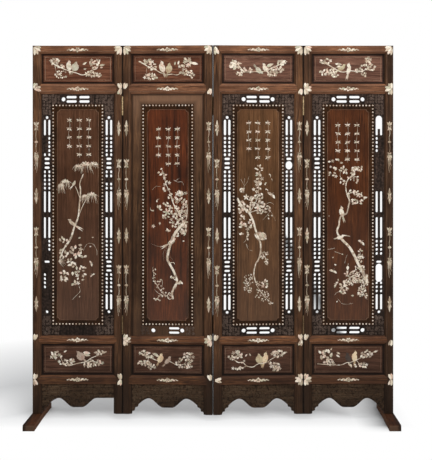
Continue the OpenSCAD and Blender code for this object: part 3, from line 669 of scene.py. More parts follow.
for k in LEAF_NUMBERS:
    fans = Drawing()
    for side in (-1, 1):
        top_pieces = FAN_PIECES.get((k, side, "top"), ("top in", "top down"))
        corner_fan(fans, side, RAILS["top"][1] - TOP_FAN_DOWN, top_pieces)
        for rail in ("upper", "lower", "bottom"):
            pieces = FAN_PIECES.get((k, side, rail), ("up", "in", "down"))
            corner_fan(fans, side, sum(RAILS[rail]) / 2, pieces)
    fans.let_in(f"pearl_corner_leaves_{k}", k, FRAME_FACE, bright_shell)


# Rail sprigs: a shell blossom between two tapering sprays of leaves, let into the middle of
# each rail.
SPRIG_HALF = 54.0
SPRIG_BLOSSOM = 19.0
SPRIG_LEAVES = 5
SPRIG_LEAN = 16.0
PETALS = 5


def petals(drawing, u, v, size, turn=0.0):
    """A blossom of flat petals round a small button."""
    shares = (0.0, 0.3, 0.6, 0.85)
    outline = [(size * (0.18 + 0.5 * t), size * 0.3 * math.sin(math.pi * t ** 0.7)) for t in shares]
    outline += [(size * 0.72, 0.0)] + [(x, -y) for x, y in reversed(outline[1:])]
    for i in range(PETALS):
        drawing.chip(turned(outline, turn + i * 2 * math.pi / PETALS, u, v))
    drawing.chip(turned(oval(size * 0.16, size * 0.16, 3), 0, u, v), CHIP_RISE * 1.3)


def rail_sprig(drawing, v, rng):
    petals(drawing, 0, v, SPRIG_BLOSSOM, rng.uniform(0, 1))
    for side in (-1, 1):
        path = curve_path([(side * 7, v), (side * 28, v + rng.uniform(-2, 2)), (side * SPRIG_HALF, v)])
        drawing.sliver(path, 3.0, 0.9)
        for step in range(SPRIG_LEAVES):
            lift = math.radians(SPRIG_LEAN if step % 2 else -SPRIG_LEAN)
            heading = lift if side > 0 else math.pi - lift
            drawing.leaf(20 - 2 * step, 10.6 - 1.8 * step, heading, side * (6 + step * 9), v)


for k in LEAF_NUMBERS:
    rng = random.Random(10 + k)
    sprigs = Drawing()
    for low, high in RAILS.values():
        rail_sprig(sprigs, (low + high) / 2, rng)
    sprigs.let_in(f"pearl_rail_sprigs_{k}", k, FRAME_FACE, bright_shell)


# Stile ornaments: hanging pendants of bud, stem, diamond and bell with ribbons, and between
# them slim lozenges, in the flat of each stile. Most neighbouring stiles start differently.
STILE_FLAT_U = LEAF_W / 2 - 18.5
PENDANT_HALF = 118.0
PENDANT_FIRST = {(1, -1), (2, 1), (3, 1), (4, 1)}
PENDANT_HEIGHTS = {True: (1315.0, 800.0), False: (1133.0, 615.0)}
LOZENGE_HEIGHTS = {True: (1065.0, 537.0), False: (1397.0, 872.0)}
stile_shell = shell("stile_shell", 60.0, 0.22, (228, 224, 216))


def leaf_group(drawing, u, v, leaves):
    """Leaves from one place, each given by its direction in degrees, length and width."""
    for degrees, length, width in leaves:
        drawing.leaf(length, width, math.radians(degrees), u, v)


def pendant(drawing, u, v, blown):
    """A hanging posy, its ribbons blown to one side."""
    top, bottom = v + PENDANT_HALF, v - PENDANT_HALF
    leaf_group(drawing, u, top - 24, [(degrees, 22, 11) for degrees in (54, 90, 126)])
    petals(drawing, u, top - 30, 14)
    leaf_group(drawing, u, top - 34, [(degrees, 18, 9) for degrees in (-55, -125)])
    stem = curve_path([(u, top - 40), (u + 2 * blown, v + 56), (u - 2, v + 36), (u, v + 20)])
    drawing.sliver(stem, 4.4, 3.2)
    drawing.chip([(u + x, v + y) for x, y in ((10, 14), (4, 20), (-4, 20), (-10, 14), (-4, 8), (4, 8))])
    drawing.sliver(curve_path([(u, v + 6), (u + 2 * blown, v - 14), (u, v - 36)]), 3.2, 4.2)
    leaf_group(drawing, u, v - 42, [(degrees, 12, 7) for degrees in (20, 160)])
    petals(drawing, u, v - 50, 16)
    leaf_group(drawing, u, v - 50, [(-45, 19, 12), (-76, 31, 12), (-104, 29, 12), (-135, 18, 12)])
    for start, reach in ((5, 11), (-1, 6), (-6, -1)):
        root, tip = u + start * blown, u + reach * blown
        drawing.sliver(curve_path([(root, v - 70), (root, v - 92), (tip, bottom + 3 * start)]), 6.0, 2.0)


def lozenge(drawing, u, v):
    leaf_group(drawing, u, v, [(degrees, 42, 11) for degrees in (90, -90)])
    leaf_group(drawing, u, v, [(degrees, 20, 8) for degrees in (60, 120, -60, -120)])
    petals(drawing, u, v, 12)


for k in LEAF_NUMBERS:
    ornaments = Drawing()
    for side in (-1, 1):
        first = (k, side) in PENDANT_FIRST
        for v in PENDANT_HEIGHTS[first]:
            pendant(ornaments, side * STILE_FLAT_U, v, side)
        for v in LOZENGE_HEIGHTS[first]:
            lozenge(ornaments, side * STILE_FLAT_U, v)
    ornaments.let_in(f"pearl_stile_ornaments_{k}", k, FRAME_FACE, stile_shell)


# Shell leaves and blossoms: what Geometry Nodes grow on drawn stems. A leaf is one pointed
# chip with a ridge for its vein, a blossom is a ring of them round a button, and each has a
# tint of its own. Stems are slivers that taper with the girth drawn at their points.
def grow_piece(name, k, place, tree, values, points, edges, measures):
    """What a Geometry Nodes tree makes on drawn points and lines, as one piece fixed on leaf k."""
    lines = bpy.data.meshes.new(name + "_lines")
    lines.from_pydata([(*p, 0.0) if len(p) == 2 else p for p in points], edges, [])
    for measure, amounts in measures.items():
        lines.attributes.new(measure, "FLOAT", "POINT").data.foreach_set("value", amounts)
    source = new_object(name + "_lines", lines)
    modifier = source.modifiers.new(tree.name, "NODES")
    modifier.node_group = tree
    for item in tree.interface.items_tree:
        if item.item_type == "SOCKET" and item.in_out == "INPUT" and item.name in values:
            modifier[item.identifier] = values[item.name]
    mesh = bpy.data.meshes.new_from_object(source.evaluated_get(bpy.context.evaluated_depsgraph_get()))
    bpy.data.objects.remove(source)
    mesh.name = name
    mesh.transform(place)
    fix_on_leaf(new_object(name, mesh), k)


def geometry_tree(name, inputs):
    """A Geometry Nodes tree on drawn geometry, with named inputs and a material."""
    sockets = {"Geometry": ("NodeSocketGeometry", None), **inputs, "Material": ("NodeSocketMaterial", None)}
    return group_tree("GeometryNodeTree", name, sockets, {"Geometry": "NodeSocketGeometry"})


def realized(tree, geometry):
    return put(tree, "GeometryNodeRealizeInstances", {"Geometry": geometry}).outputs[0]


def finish_tree(tree, group_in, group_out, geometry):
    """Ends a tree with plain geometry in its material."""
    painted = put(tree, "GeometryNodeSetMaterial", {
        "Geometry": realized(tree, geometry), "Material": group_in.outputs["Material"],
    }).outputs[0]
    plug(tree, group_out, {"Geometry": painted})


def join(tree, *geometries):
    joined = put(tree, "GeometryNodeJoinGeometry")
    for geometry in geometries:
        tree.links.new(geometry, joined.inputs[0])
    return joined.outputs[0]


def round_wire(tree, sides, radius):
    circle = put(tree, "GeometryNodeCurvePrimitiveCircle", {"Resolution": sides, "Radius": radius})
    return circle.outputs["Curve"]


def random_number(tree, low, high, seed):
    return put(tree, "FunctionNodeRandomValue", {2: low, 3: high, "Seed": seed}, data_type="FLOAT").outputs[1]


def drawn_measure(tree, name):
    """A number that was drawn with each point."""
    return put(tree, "GeometryNodeInputNamedAttribute", {"Name": name}, data_type="FLOAT").outputs[0]


def by_turns(tree):
    """Zero and one by turns from point to point."""
    return arithmetic(tree, "MODULO", put(tree, "GeometryNodeInputIndex").outputs[0], 2.0)


def tint_each(tree, chips, seed):
    return put(tree, "GeometryNodeStoreNamedAttribute", {
        "Geometry": chips, "Name": "tint", "Value": random_number(tree, 0.0, 1.0, seed),
    }, data_type="FLOAT", domain="INSTANCE").outputs[0]


leaf_tree, leaf_in, leaf_out = group_tree(
    "GeometryNodeTree", "shell_leaf",
    {"Length": ("NodeSocketFloat", 1.0), "Width": ("NodeSocketFloat", 0.4), "Rise": ("NodeSocketFloat", 0.9)},
    {"Geometry": "NodeSocketGeometry"},
)
LEAF_STEPS, LEAF_SIDES = 5, 3
LEAF_SUNK = 0.12
sheet = put(leaf_tree, "GeometryNodeMeshGrid", {
    "Size X": 1.0, "Size Y": 1.0, "Vertices X": LEAF_STEPS, "Vertices Y": LEAF_SIDES,
}).outputs["Mesh"]
sheet_place = put(leaf_tree, "GeometryNodeInputPosition").outputs[0]
from_vein = along_axis(leaf_tree, sheet_place, "Y")
from_stalk = plus(leaf_tree, along_axis(leaf_tree, sheet_place, "X"), 0.5)
swell = arithmetic(leaf_tree, "SINE", times(leaf_tree, from_stalk, math.pi))
leaf_x = times(leaf_tree, from_stalk, leaf_in.outputs["Length"])
swelling = times(leaf_tree, from_vein, swell)
leaf_y = times(leaf_tree, swelling, leaf_in.outputs["Width"])
from_rim = times(leaf_tree, arithmetic(leaf_tree, "ABSOLUTE", from_vein), 2.0)
from_rim = minus(leaf_tree, 1.0, from_rim)
ridge = times(leaf_tree, from_rim, swell)
ridge = times(leaf_tree, ridge, leaf_in.outputs["Rise"])
leaf_z = minus(leaf_tree, ridge, LEAF_SUNK)
shaped = put(leaf_tree, "GeometryNodeSetPosition", {
    "Geometry": sheet, "Position": vector(leaf_tree, leaf_x, leaf_y, leaf_z),
}).outputs[0]
joined = put(leaf_tree, "GeometryNodeMergeByDistance", {"Geometry": shaped, "Distance": 0.0001}).outputs[0]
plug(leaf_tree, leaf_out, {"Geometry": joined})

blossom_tree, blossom_in, blossom_out = geometry_tree("shell_blossoms", {
    "Petals": ("NodeSocketInt", 5), "Petal width": ("NodeSocketFloat", 0.5), "Rise": ("NodeSocketFloat", 0.9),
    "Seed": ("NodeSocketInt", 1),
})
BUTTON_R, BUTTON_TALL = 0.2, 5.0
petal_count = blossom_in.outputs["Petals"]
petal = put(blossom_tree, "GeometryNodeGroup", {
    "Length": 1.0, "Width": blossom_in.outputs["Petal width"], "Rise": blossom_in.outputs["Rise"],
}, node_tree=leaf_tree).outputs[0]
ring = put(blossom_tree, "GeometryNodeMeshCircle", {"Vertices": petal_count, "Radius": 0.02}).outputs[0]
step_turn = arithmetic(blossom_tree, "DIVIDE", 2 * math.pi, petal_count)
turn = times(blossom_tree, put(blossom_tree, "GeometryNodeInputIndex").outputs[0], step_turn)
rosette = put(blossom_tree, "GeometryNodeInstanceOnPoints", {
    "Points": ring, "Instance": petal, "Rotation": vector(blossom_tree, 0.0, 0.0, turn),
}).outputs[0]
button = put(blossom_tree, "GeometryNodeMeshIcoSphere", {
    "Radius": BUTTON_R, "Subdivisions": 1,
}).outputs["Mesh"]
button = put(blossom_tree, "GeometryNodeTransform", {
    "Geometry": button, "Scale": (1.0, 1.0, BUTTON_TALL),
}).outputs[0]
size = drawn_measure(blossom_tree, "size")
spin = random_number(blossom_tree, 0.0, 2 * math.pi, blossom_in.outputs["Seed"])
blossoms = put(blossom_tree, "GeometryNodeInstanceOnPoints", {
    "Points": blossom_in.outputs["Geometry"], "Instance": join(blossom_tree, rosette, button),
    "Rotation": vector(blossom_tree, 0.0, 0.0, spin), "Scale": vector(blossom_tree, size, size, 1.0),
}).outputs[0]
finish_tree(blossom_tree, blossom_in, blossom_out, tint_each(blossom_tree, blossoms, 7))

spray_tree, spray_in, spray_out = geometry_tree("shell_sprays", {
    "Leaf length": ("NodeSocketFloat", 14.0), "Leaf width": ("NodeSocketFloat", 6.0),
    "Leaf pitch": ("NodeSocketFloat", 8.0), "Lean": ("NodeSocketFloat", 0.9),
    "Rise": ("NodeSocketFloat", 0.9), "Seed": ("NodeSocketInt", 1),
})
KNOT_SCALE, KNOT_SIZE = 0.25, 3.0
stems = put(spray_tree, "GeometryNodeMeshToCurve", {"Mesh": spray_in.outputs["Geometry"]}).outputs[0]
level = put(spray_tree, "GeometryNodeSetCurveNormal", {"Curve": stems}, mode="Z_UP").outputs[0]
round_bar = round_wire(spray_tree, 6, 0.5)
tube = put(spray_tree, "GeometryNodeCurveToMesh", {
    "Curve": level, "Profile Curve": round_bar, "Scale": drawn_measure(spray_tree, "girth"),
    "Fill Caps": True,
}).outputs[0]
spot = put(spray_tree, "GeometryNodeInputPosition").outputs[0]
knots = minus(spray_tree, noise(spray_tree, spot, KNOT_SCALE), 0.5)
knotted = plus(spray_tree, along_axis(spray_tree, spot, "X"), times(spray_tree, knots, KNOT_SIZE))
low_top = arithmetic(spray_tree, "MINIMUM", along_axis(spray_tree, spot, "Z"), spray_in.outputs["Rise"])
flat_foot = arithmetic(spray_tree, "MAXIMUM", low_top, RIM_SUNK)
tube = put(spray_tree, "GeometryNodeSetPosition", {
    "Geometry": tube, "Position": vector(spray_tree, knotted, along_axis(spray_tree, spot, "Y"), flat_foot),
}).outputs[0]
buds = put(spray_tree, "GeometryNodeCurveToPoints", {
    "Curve": level, "Length": spray_in.outputs["Leaf pitch"],
}, mode="LENGTH")
heading = put(spray_tree, "FunctionNodeAlignRotationToVector", {
    "Vector": buds.outputs["Tangent"],
}, axis="X", pivot_axis="Z").outputs[0]
which_side = times(spray_tree, by_turns(spray_tree), 2.0)
which_side = minus(spray_tree, which_side, 1.0)
uneven = random_number(spray_tree, 0.6, 1.4, spray_in.outputs["Seed"])
lean = times(spray_tree, spray_in.outputs["Lean"], uneven)
lean = times(spray_tree, which_side, lean)
outward = put(spray_tree, "FunctionNodeRotateRotation", {
    "Rotation": heading, "Rotate By": vector(spray_tree, 0.0, 0.0, lean),
}, rotation_space="LOCAL").outputs[0]
has_leaf = put(spray_tree, "FunctionNodeCompare", {
    0: drawn_measure(spray_tree, "leafy"), 1: random_number(spray_tree, 0.02, 1.0, 3),
}, data_type="FLOAT", operation="GREATER_THAN").outputs[0]
one_leaf = put(spray_tree, "GeometryNodeGroup", {
    "Length": spray_in.outputs["Leaf length"], "Width": spray_in.outputs["Leaf width"],
    "Rise": spray_in.outputs["Rise"],
}, node_tree=leaf_tree).outputs[0]
growth_size = random_number(spray_tree, 0.55, 1.15, 5)
leaves = put(spray_tree, "GeometryNodeInstanceOnPoints", {
    "Points": buds.outputs["Points"], "Selection": has_leaf, "Instance": one_leaf, "Rotation": outward,
    "Scale": vector(spray_tree, growth_size, growth_size, 1.0),
}).outputs[0]
leaves = realized(spray_tree, tint_each(spray_tree, leaves, 9))
finish_tree(spray_tree, spray_in, spray_out, join(spray_tree, leaves, tube))

STEM_STEPS = 6
PLACE_TRIES = 60
ROOM_EASING = 70


class Planting:
    """Stems and blossoms drawn for one panel, before they are grown."""

    def __init__(self, rng, half_w):
        self.rng = rng
        self.half_w = half_w
        self.planted = []
        self.points, self.edges, self.girth, self.leafy = [], [], [], []
        self.flowers, self.flower_sizes = [], []

    def stem(self, stops, thick, thin, leafy=0.0):
        path = curve_path(stops, STEM_STEPS)
        start = len(self.points)
        self.points += path
        self.edges += [(start + i, start + i + 1) for i in range(len(path) - 1)]
        self.girth += [thick + (thin - thick) * i / (len(path) - 1) for i in range(len(path))]
        self.leafy += [leafy] * len(path)

    def blossom(self, u, v, spread, size):
        self.flowers.append((u + self.rng.gauss(0, spread), v + self.rng.gauss(0, spread)))
        self.flower_sizes.append(size * self.rng.uniform(0.7, 1.25))

    def free_spot(self, u, v, half_u, half_v, room):
        """A random place in an ellipse, clear of what is planted there as far as it can be."""
        for attempt in range(PLACE_TRIES):
            a, r = self.rng.uniform(0, 2 * math.pi), math.sqrt(self.rng.random())
            spot = (u + half_u * r * math.cos(a), v + half_v * r * math.sin(a))
            easing = 1 - attempt / ROOM_EASING
            if abs(spot[0]) < self.half_w - room and all(
                math.hypot(spot[0] - x, spot[1] - y) > (room + other) * easing for x, y, other in self.planted
            ):
                break
        self.planted.append((*spot, room))
        return spot

    def clusters(self, drawing, rows):
        """Blossoms and loose leaves, each row a place, its spread, their numbers and their size."""
        for u, v, half_u, half_v, blossoms, leaves, size in rows:
            for _ in range(blossoms):
                radius = size * self.rng.uniform(0.62, 0.8)
                self.flowers.append(self.free_spot(u, v, half_u, half_v, radius * 0.85))
                self.flower_sizes.append(radius)
            for _ in range(leaves):
                length, heading = size * self.rng.uniform(1.1, 1.5), self.rng.uniform(0, 2 * math.pi)
                x, y = self.free_spot(u, v, half_u, half_v, length * 0.27)
                root = (x - length / 2 * math.cos(heading), y - length / 2 * math.sin(heading))
                drawing.leaf(length, length * 0.6, heading, *root)

    def grow(self, name, k, depth, leaf_length, leaf_width, seed, material):
        place, common = face_place(k, depth), {"Seed": seed, "Material": material}
        sizes = {"Leaf length": leaf_length, "Leaf width": leaf_width, "Leaf pitch": leaf_width * 1.1}
        grow_piece(
            f"pearl_{name}_stems_{k}", k, place, spray_tree, {**sizes, **common},
            self.points, self.edges, {"girth": self.girth, "leafy": self.leafy},
        )
        grow_piece(
            f"pearl_{name}_blossoms_{k}", k, place, blossom_tree,
            {"Petals": PETALS, **common}, self.flowers, [], {"size": self.flower_sizes},
        )


# Small panels: a branch of blossom hangs across each, with one or two birds by its lowest
# point. The eight are variations of one drawing, as the workshop's pattern was.
PANEL_FACE = -6.0
SMALL_PANEL_HALF_W = 154.0
inlay_shell = shell("inlay_shell", 70.0, 0.15)


def bird(drawing, u, v, size, facing, lean, tail=0.8, plump=0.6):
    """A perching bird: tail, body, head, beak and folded wing."""
    def part(points, angle, du, dv, rise):
        swung = turned(turned(points, angle, du, dv), lean, 0, 0, size)
        drawing.chip([(u + facing * x, v + y) for x, y in (swung if facing > 0 else reversed(swung))], rise)

    for spread in (-0.1, 0.1):
        part(leaf_outline(tail, 0.15, 4), math.pi + spread, -0.25, -0.04, 0.8)
    part(oval(0.5, plump / 2, 5), 0.0, 0.0, 0.0, 1.0)
    part(oval(0.2, 0.18, 4), 0.0, 0.44, 0.14, 1.2)
    part([(0.0, 0.05), (0.0, -0.05), (0.16, -0.01)], 0.0, 0.6, 0.15, 1.0)
    for step in range(3):
        feather = leaf_outline(0.72 - 0.12 * step, 0.2, 4)
        part(feather, math.pi + 0.3 - 0.22 * step, 0.24, 0.16 - 0.1 * step, 1.5)


BIRD_SHELLS = {
    name: shell(f"{name}_shell", 70.0, 0.2, cast) for name, cast in {
        "white": (254, 254, 252), "green": (214, 218, 210),
        "olive": (212, 206, 182), "yellow": (244, 232, 208),
        "violet": (190, 176, 170), "dark": (64, 48, 38),
    }.items()
}
SMALL_PANELS = {
    (1, "upper"): (
        [([(-140, 42), (-115, 22), (-85, 6), (-50, -8), (-8, -20), (20, -30), (45, -24), (62, -10),
           (92, 0)], 5, 3.4),
         ([(-112, 18), (-108, -8), (-100, -40)], 2.6, 1.4), ([(45, -24), (70, -34), (100, -36)], 3, 1.6),
         ([(92, 0), (100, 18), (92, 48)], 3, 1.6)],
        [(-112, 36, 26, 13, 3, 5, 14), (-84, 14, 20, 10, 2, 3, 12), (-82, -28, 30, 20, 3, 14, 9),
         (68, -26, 34, 14, 4, 7, 13), (104, -30, 12, 10, 1, 3, 10), (82, 26, 22, 22, 4, 7, 14)],
        [(-44, 12, 44, -1, 1.35, 0.62, "white"), (-14, 8, 42, 1, 1.05, 0.95, "green")],
        [(22, 20, 26, 30), (26, -2, 18, 10), (104, 16, 30, 8), (106, 34, 14, 80), (108, 6, 16, 0)],
    ),
    (2, "upper"): (
        [([(-142, 36), (-115, 22), (-90, 6), (-60, -6), (-34, -20), (0, -30)], 5.5, 3.6),
         ([(0, -30), (20, -27), (45, -31), (62, -22), (76, -8), (92, 0)], 4, 2.6),
         ([(-100, 12), (-104, -12), (-98, -34)], 2.6, 1.4), ([(62, -22), (95, -26)], 2.6, 1.4)],
        [(-95, 32, 24, 12, 3, 4, 15), (-74, 4, 20, 9, 2, 4, 12), (-86, -40, 34, 15, 5, 8, 13),
         (70, 6, 14, 10, 2, 2, 13), (86, -22, 26, 11, 3, 4, 12), (118, -26, 12, 20, 1, 6, 11),
          (98, 32, 18, 18, 4, 4, 16)],
        [(-27, 4, 50, -1, 1.2, 0.62, "white"), (6, -2, 44, 1, 1.2, 0.8, "olive")],
        [(-74, 22, 20, 0), (34, 16, 20, 80), (50, 18, 24, 75), (116, 28, 36, -12), (-142, 38, 20, -30)],
    ),
    (3, "upper"): (
        [([(-135, 30), (-100, 18), (-78, -6), (-60, -16), (-15, -15), (36, -12), (66, 4), (96, 16),
           (142, 36)], 5, 3.2),
         ([(-64, -14), (-95, -24)], 2.6, 1.4), ([(60, 0), (90, -18), (120, -14)], 3, 1.6)],
        [(-114, 20, 26, 20, 5, 6, 16), (-72, -10, 16, 12, 2, 3, 13), (-94, -26, 18, 8, 2, 4, 10),
         (-46, -8, 12, 12, 1, 3, 12), (86, -6, 40, 15, 6, 8, 13), (68, -28, 24, 9, 2, 6, 10),
          (112, 30, 24, 12, 2, 5, 14)],
        [(2, -8, 40, 1, -0.9, 0.6, "green"), (36, 0, 42, -1, 0.9, 0.6, "white")],
        [(40, 10, 40, 22), (98, 36, 24, 10), (112, 30, 28, 25), (-100, 26, 22, -5), (-138, 26, 20, 15)],
    ),
    (4, "upper"): (
        [([(-140, 34), (-110, 26), (-84, 12), (-54, -6), (-28, -16), (10, -10), (40, -12), (72, -10),
           (96, 4), (116, 16)], 5, 2.8),
         ([(-112, 26), (-112, 48)], 2.6, 1.4), ([(-54, -6), (-60, -34)], 3, 1.8), ([(96, 4), (102, 26),
           (98, 50)], 2.6, 1.4)],
        [(-108, 36, 26, 14, 2, 7, 13), (-110, -16, 28, 16, 3, 7, 13), (-76, -16, 22, 18, 3, 6, 12),
         (-62, -34, 14, 8, 0, 4, 12), (56, -8, 20, 12, 3, 4, 11), (78, -26, 12, 10, 1, 4, 11),
         (108, 8, 24, 18, 3, 8, 12), (100, 42, 14, 14, 2, 3, 15), (76, 16, 10, 8, 1, 2, 10)],
        [(-34, 2, 42, 1, 0.5, 0.55, "olive"), (3, -6, 50, 1, 1.3, 0.42, "white")],
        [(-30, 20, 36, 172), (-34, 12, 28, 190)],
    ),
    (1, "lower"): (
        [([(-48, -32), (0, -20), (38, -12), (66, 6), (100, 20), (140, 37)], 4.6, 2.8),
         ([(-84, 10), (-76, -8), (-60, -26), (-48, -32)], 3, 2), ([(60, 0), (84, -12),
           (120, -24)], 2.6, 1.4)],
        [(-106, 20, 28, 17, 3, 8, 14), (-62, -18, 34, 15, 4, 8, 12), (-30, -10, 14, 10, 1, 3, 12),
         (88, -18, 38, 15, 5, 8, 12), (104, 32, 22, 10, 1, 6, 13), (56, -32, 12, 8, 0, 4, 10)],
        [(14, 14, 46, -1, 0.7, 0.9, "violet")],
        [(24, 34, 40, -8), (26, 26, 38, -14), (34, -14, 28, -95), (44, -14, 26, -55), (118, 30, 26, 20),
         (-70, 34, 20, 30)],
    ),
    (2, "lower"): (
        [([(-140, 36), (-110, 20), (-82, 8), (-54, -3), (-30, -6)], 5, 3), ([(10, -8), (26, -16),
           (44, -26)], 3.6, 2.6),
         ([(-96, 14), (-100, -12), (-140, -20)], 2.6, 1.4), ([(-100, -12), (-84, -34)], 2.2, 1.4),
         ([(44, -26), (80, -20), (100, 10)], 2.6, 1.4)],
        [(-112, 32, 26, 11, 2, 6, 13), (-90, 16, 22, 9, 1, 5, 12), (-116, -18, 34, 12, 2, 10, 12),
         (-84, -34, 22, 12, 4, 3, 11), (104, 16, 26, 24, 6, 6, 12), (66, 6, 8, 10, 1, 2, 11),
         (74, -32, 20, 12, 3, 3, 11), (104, -26, 18, 16, 3, 4, 11), (46, -14, 12, 10, 2, 2, 11)],
        [(-36, 4, 42, 1, 1.05, 0.72, "yellow"), (0, -6, 40, 1, 0.75, 0.55, "violet")],
        [(-46, 20, 34, 160), (-42, 14, 30, 150)],
    ),
    (3, "lower"): (
        [([(-122, 6), (-98, -12), (-76, -12), (-56, -30), (-26, -35), (0, -20), (40, -14), (64, 2),
           (100, 20), (142, 36)], 4.6, 2.8),
         ([(-60, -32), (-94, -42), (-122, -38)], 3, 1.6), ([(50, -12), (72, -28), (104, -30)], 2.6, 1.4),
         ([(72, -28), (80, -52)], 2.6, 1.4)],
        [(-104, 26, 26, 18, 3, 7, 15), (-136, 8, 16, 10, 1, 3, 12), (-76, -6, 10, 8, 1, 1, 11),
         (-100, -40, 26, 7, 2, 5, 11), (96, 28, 30, 16, 4, 8, 13), (78, -24, 24, 14, 3, 5, 12),
          (92, -46, 22, 10, 4, 3, 12)],
        [(6, 2, 42, -1, 1.15, 0.95, "olive"), (34, 4, 48, 1, 1.2, 0.62, "yellow")],
        [(-64, 16, 18, 50), (-36, 18, 18, 120), (118, 28, 26, 22)],
    ),
    (4, "lower"): (
        [([(-150, -22), (-110, -25), (-40, -28), (-8, -17), (20, -12), (60, 6), (100, 26),
           (146, 43)], 3.6, 2.4),
         ([(-60, -26), (-92, -10), (-80, 12)], 2.2, 1.4), ([(40, -5), (64, -26), (96, -26)], 2.4, 1.4)],
        [(-112, 26, 32, 22, 0, 9, 18), (-92, -14, 26, 14, 4, 6, 12), (88, 24, 28, 18, 3, 8, 13),
         (74, -28, 26, 11, 2, 6, 12), (34, -28, 10, 8, 0, 2, 11)],
        [(0, 6, 40, -1, 1.1, 0.7, "dark"), (31, 10, 46, -1, 1.5, 0.62, "yellow")],
        [(-58, 36, 24, -30), (-60, 22, 24, -30), (10, -18, 26, -72), (0, -16, 22, -60), (124, 34, 24, 22),
         (-86, 44, 16, 60)],
    ),
}
for (k, which), (stems, clusters, birds, loose_leaves) in SMALL_PANELS.items():
    middle = sum(OPENINGS[which]) / 2
    plants, chips = Planting(random.Random(40 + 2 * k + (which == "upper")), SMALL_PANEL_HALF_W), Drawing()
    for stops, thick, thin in stems:
        plants.stem([(u, middle + rise) for u, rise in stops], thick, thin)
    plants.clusters(chips, [(u, middle + rise, *rest) for u, rise, *rest in clusters])
    for u, rise, length, lean in loose_leaves:
        chips.leaf(length, length * 0.42, math.radians(lean), u, middle + rise)
    small_shell = bright_shell if which == "upper" else inlay_shell
    plants.grow(f"{which}_panel", k, PANEL_FACE, 10.0, 4.5, 3 * k, small_shell)
    chips.let_in(f"pearl_{which}_panel_leaves_{k}", k, PANEL_FACE, small_shell)
    for order, (u, rise, length, facing, lean, plump, tone) in zip(("first", "second"), birds):
        perched = Drawing()
        bird(perched, u, middle + rise, length, facing, lean, plump=plump)
        perched.let_in(f"pearl_{which}_panel_{order}_bird_{k}", k, PANEL_FACE, BIRD_SHELLS[tone])


# Centre panels: each holds its own flowering tree of shell, with birds and insects about it,
# and above it three hanging garlands of small blossoms.
CENTRE_FACE = -6.0
FIELD_HALF_W = 98.0
GARLANDS = {1: (53, 7, -42, 1436), 2: (47, 3, -46, 1392), 3: (47, -2, -46, 1422), 4: (43, -3, -50, 1412)}
GARLAND_BLOSSOMS = (5, 5, 4)
GARLAND_PITCH = 42.0
TUFT_LEAVES = 23
GRASS_BLADES = 9


def tuft(drawing, u, v, reach, droop):
    """Long narrow leaves that spring from one place and hang, over five short broad ones."""
    for i in range(TUFT_LEAVES):
        a = math.pi * (-0.14 + 1.28 * i / (TUFT_LEAVES - 1))
        du, dv = math.cos(a), math.sin(a)
        length = reach * (0.5 + 0.17 * (i % 4))
        bend = (u + du * length * 0.55, v + dv * length * 0.3)
        tip = (u + du * length, v + dv * length * 0.2 - droop * (0.35 + 0.45 * (i % 3)))
        drawing.sliver(curve_path([(u, v), bend, tip], 3), 5.4, 1.2)
    for lean in (0.2, 0.9, 1.6, 2.3, 3.0):
        drawing.leaf(reach * 0.55, reach * 0.24, lean, u, v - 3, 1.2)


def butterfly(drawing, u, v, size, angle):
    """Two wings at each side of a slim body."""
    for spread in (0.5, 1.0, -0.5, -1.0):
        reach = size * (1.0 if abs(spread) < 0.8 else 0.7)
        heading = angle + math.pi / 2 * (1 if spread > 0 else -1) + spread * 0.6
        drawing.leaf(reach, reach * 0.55, heading, u, v)
    c, s = math.cos(angle), math.sin(angle)
    body = [(u - size * 0.4 * c, v - size * 0.4 * s), (u + size * 0.5 * c, v + size * 0.5 * s)]
    drawing.sliver(body, 2.2, 1.0, 1.2)


def grass(drawing, u, v, reach, first, last):
    """Blades that spread from one root."""
    for i in range(GRASS_BLADES):
        a = first + (last - first) * i / (GRASS_BLADES - 1)
        drawing.sliver([(u, v), (u + reach * math.cos(a), v + reach * math.sin(a))], 4.4, 1.0)


def curled_petal(drawing, u, v, size, angle):
    path = [(size * (t - 0.5), size * 0.3 * math.sin(math.pi * t)) for t in (0.0, 0.25, 0.5, 0.75, 1.0)]
    drawing.sliver(turned(path, angle, u, v), size * 0.42, 1.6)


def plumes(drawing, u, v, reach, angle):
    """Three long thin feathers that bend apart."""
    for bend in (-0.5, 0.5, 0.9):
        a, end = angle + bend, angle + bend * 1.5
        path = [(u, v), (u + reach * 0.5 * math.cos(a), v + reach * 0.5 * math.sin(a)),
                (u + reach * math.cos(end), v + reach * math.sin(end))]
        drawing.sliver(curve_path(path, 4), 1.3, 0.8)


for k, (*columns, top_v) in GARLANDS.items():
    rng = random.Random(70 + k)
    garlands, sprigs = Planting(rng, FIELD_HALF_W), Drawing()
    for u, count in zip(columns, GARLAND_BLOSSOMS):
        low_v = top_v - (count - 1) * GARLAND_PITCH
        middle_v = (top_v + low_v) / 2
        hang = [(u, top_v + 14), (u + 3, top_v - 30), (u - 3, middle_v), (u + 2, low_v + 26), (u, low_v - 16)]
        garlands.stem(hang, 1.3, 0.9)
        for row in range(count):
            v = top_v - row * GARLAND_PITCH
            garlands.blossom(u, v, 0.5, 7.5)
            for side in (-1, 1):
                for lean in (rng.uniform(10, 40), rng.uniform(-50, -15)):
                    heading = math.radians(lean if side > 0 else 180 - lean)
                    sprigs.leaf(rng.uniform(11, 15), 5.4, heading, u + side * 2, v)
    garlands.grow("garlands", k, CENTRE_FACE, 11.0, 4.4, 5 * k, inlay_shell)
    sprigs.let_in(f"pearl_garland_leaves_{k}", k, CENTRE_FACE, inlay_shell)


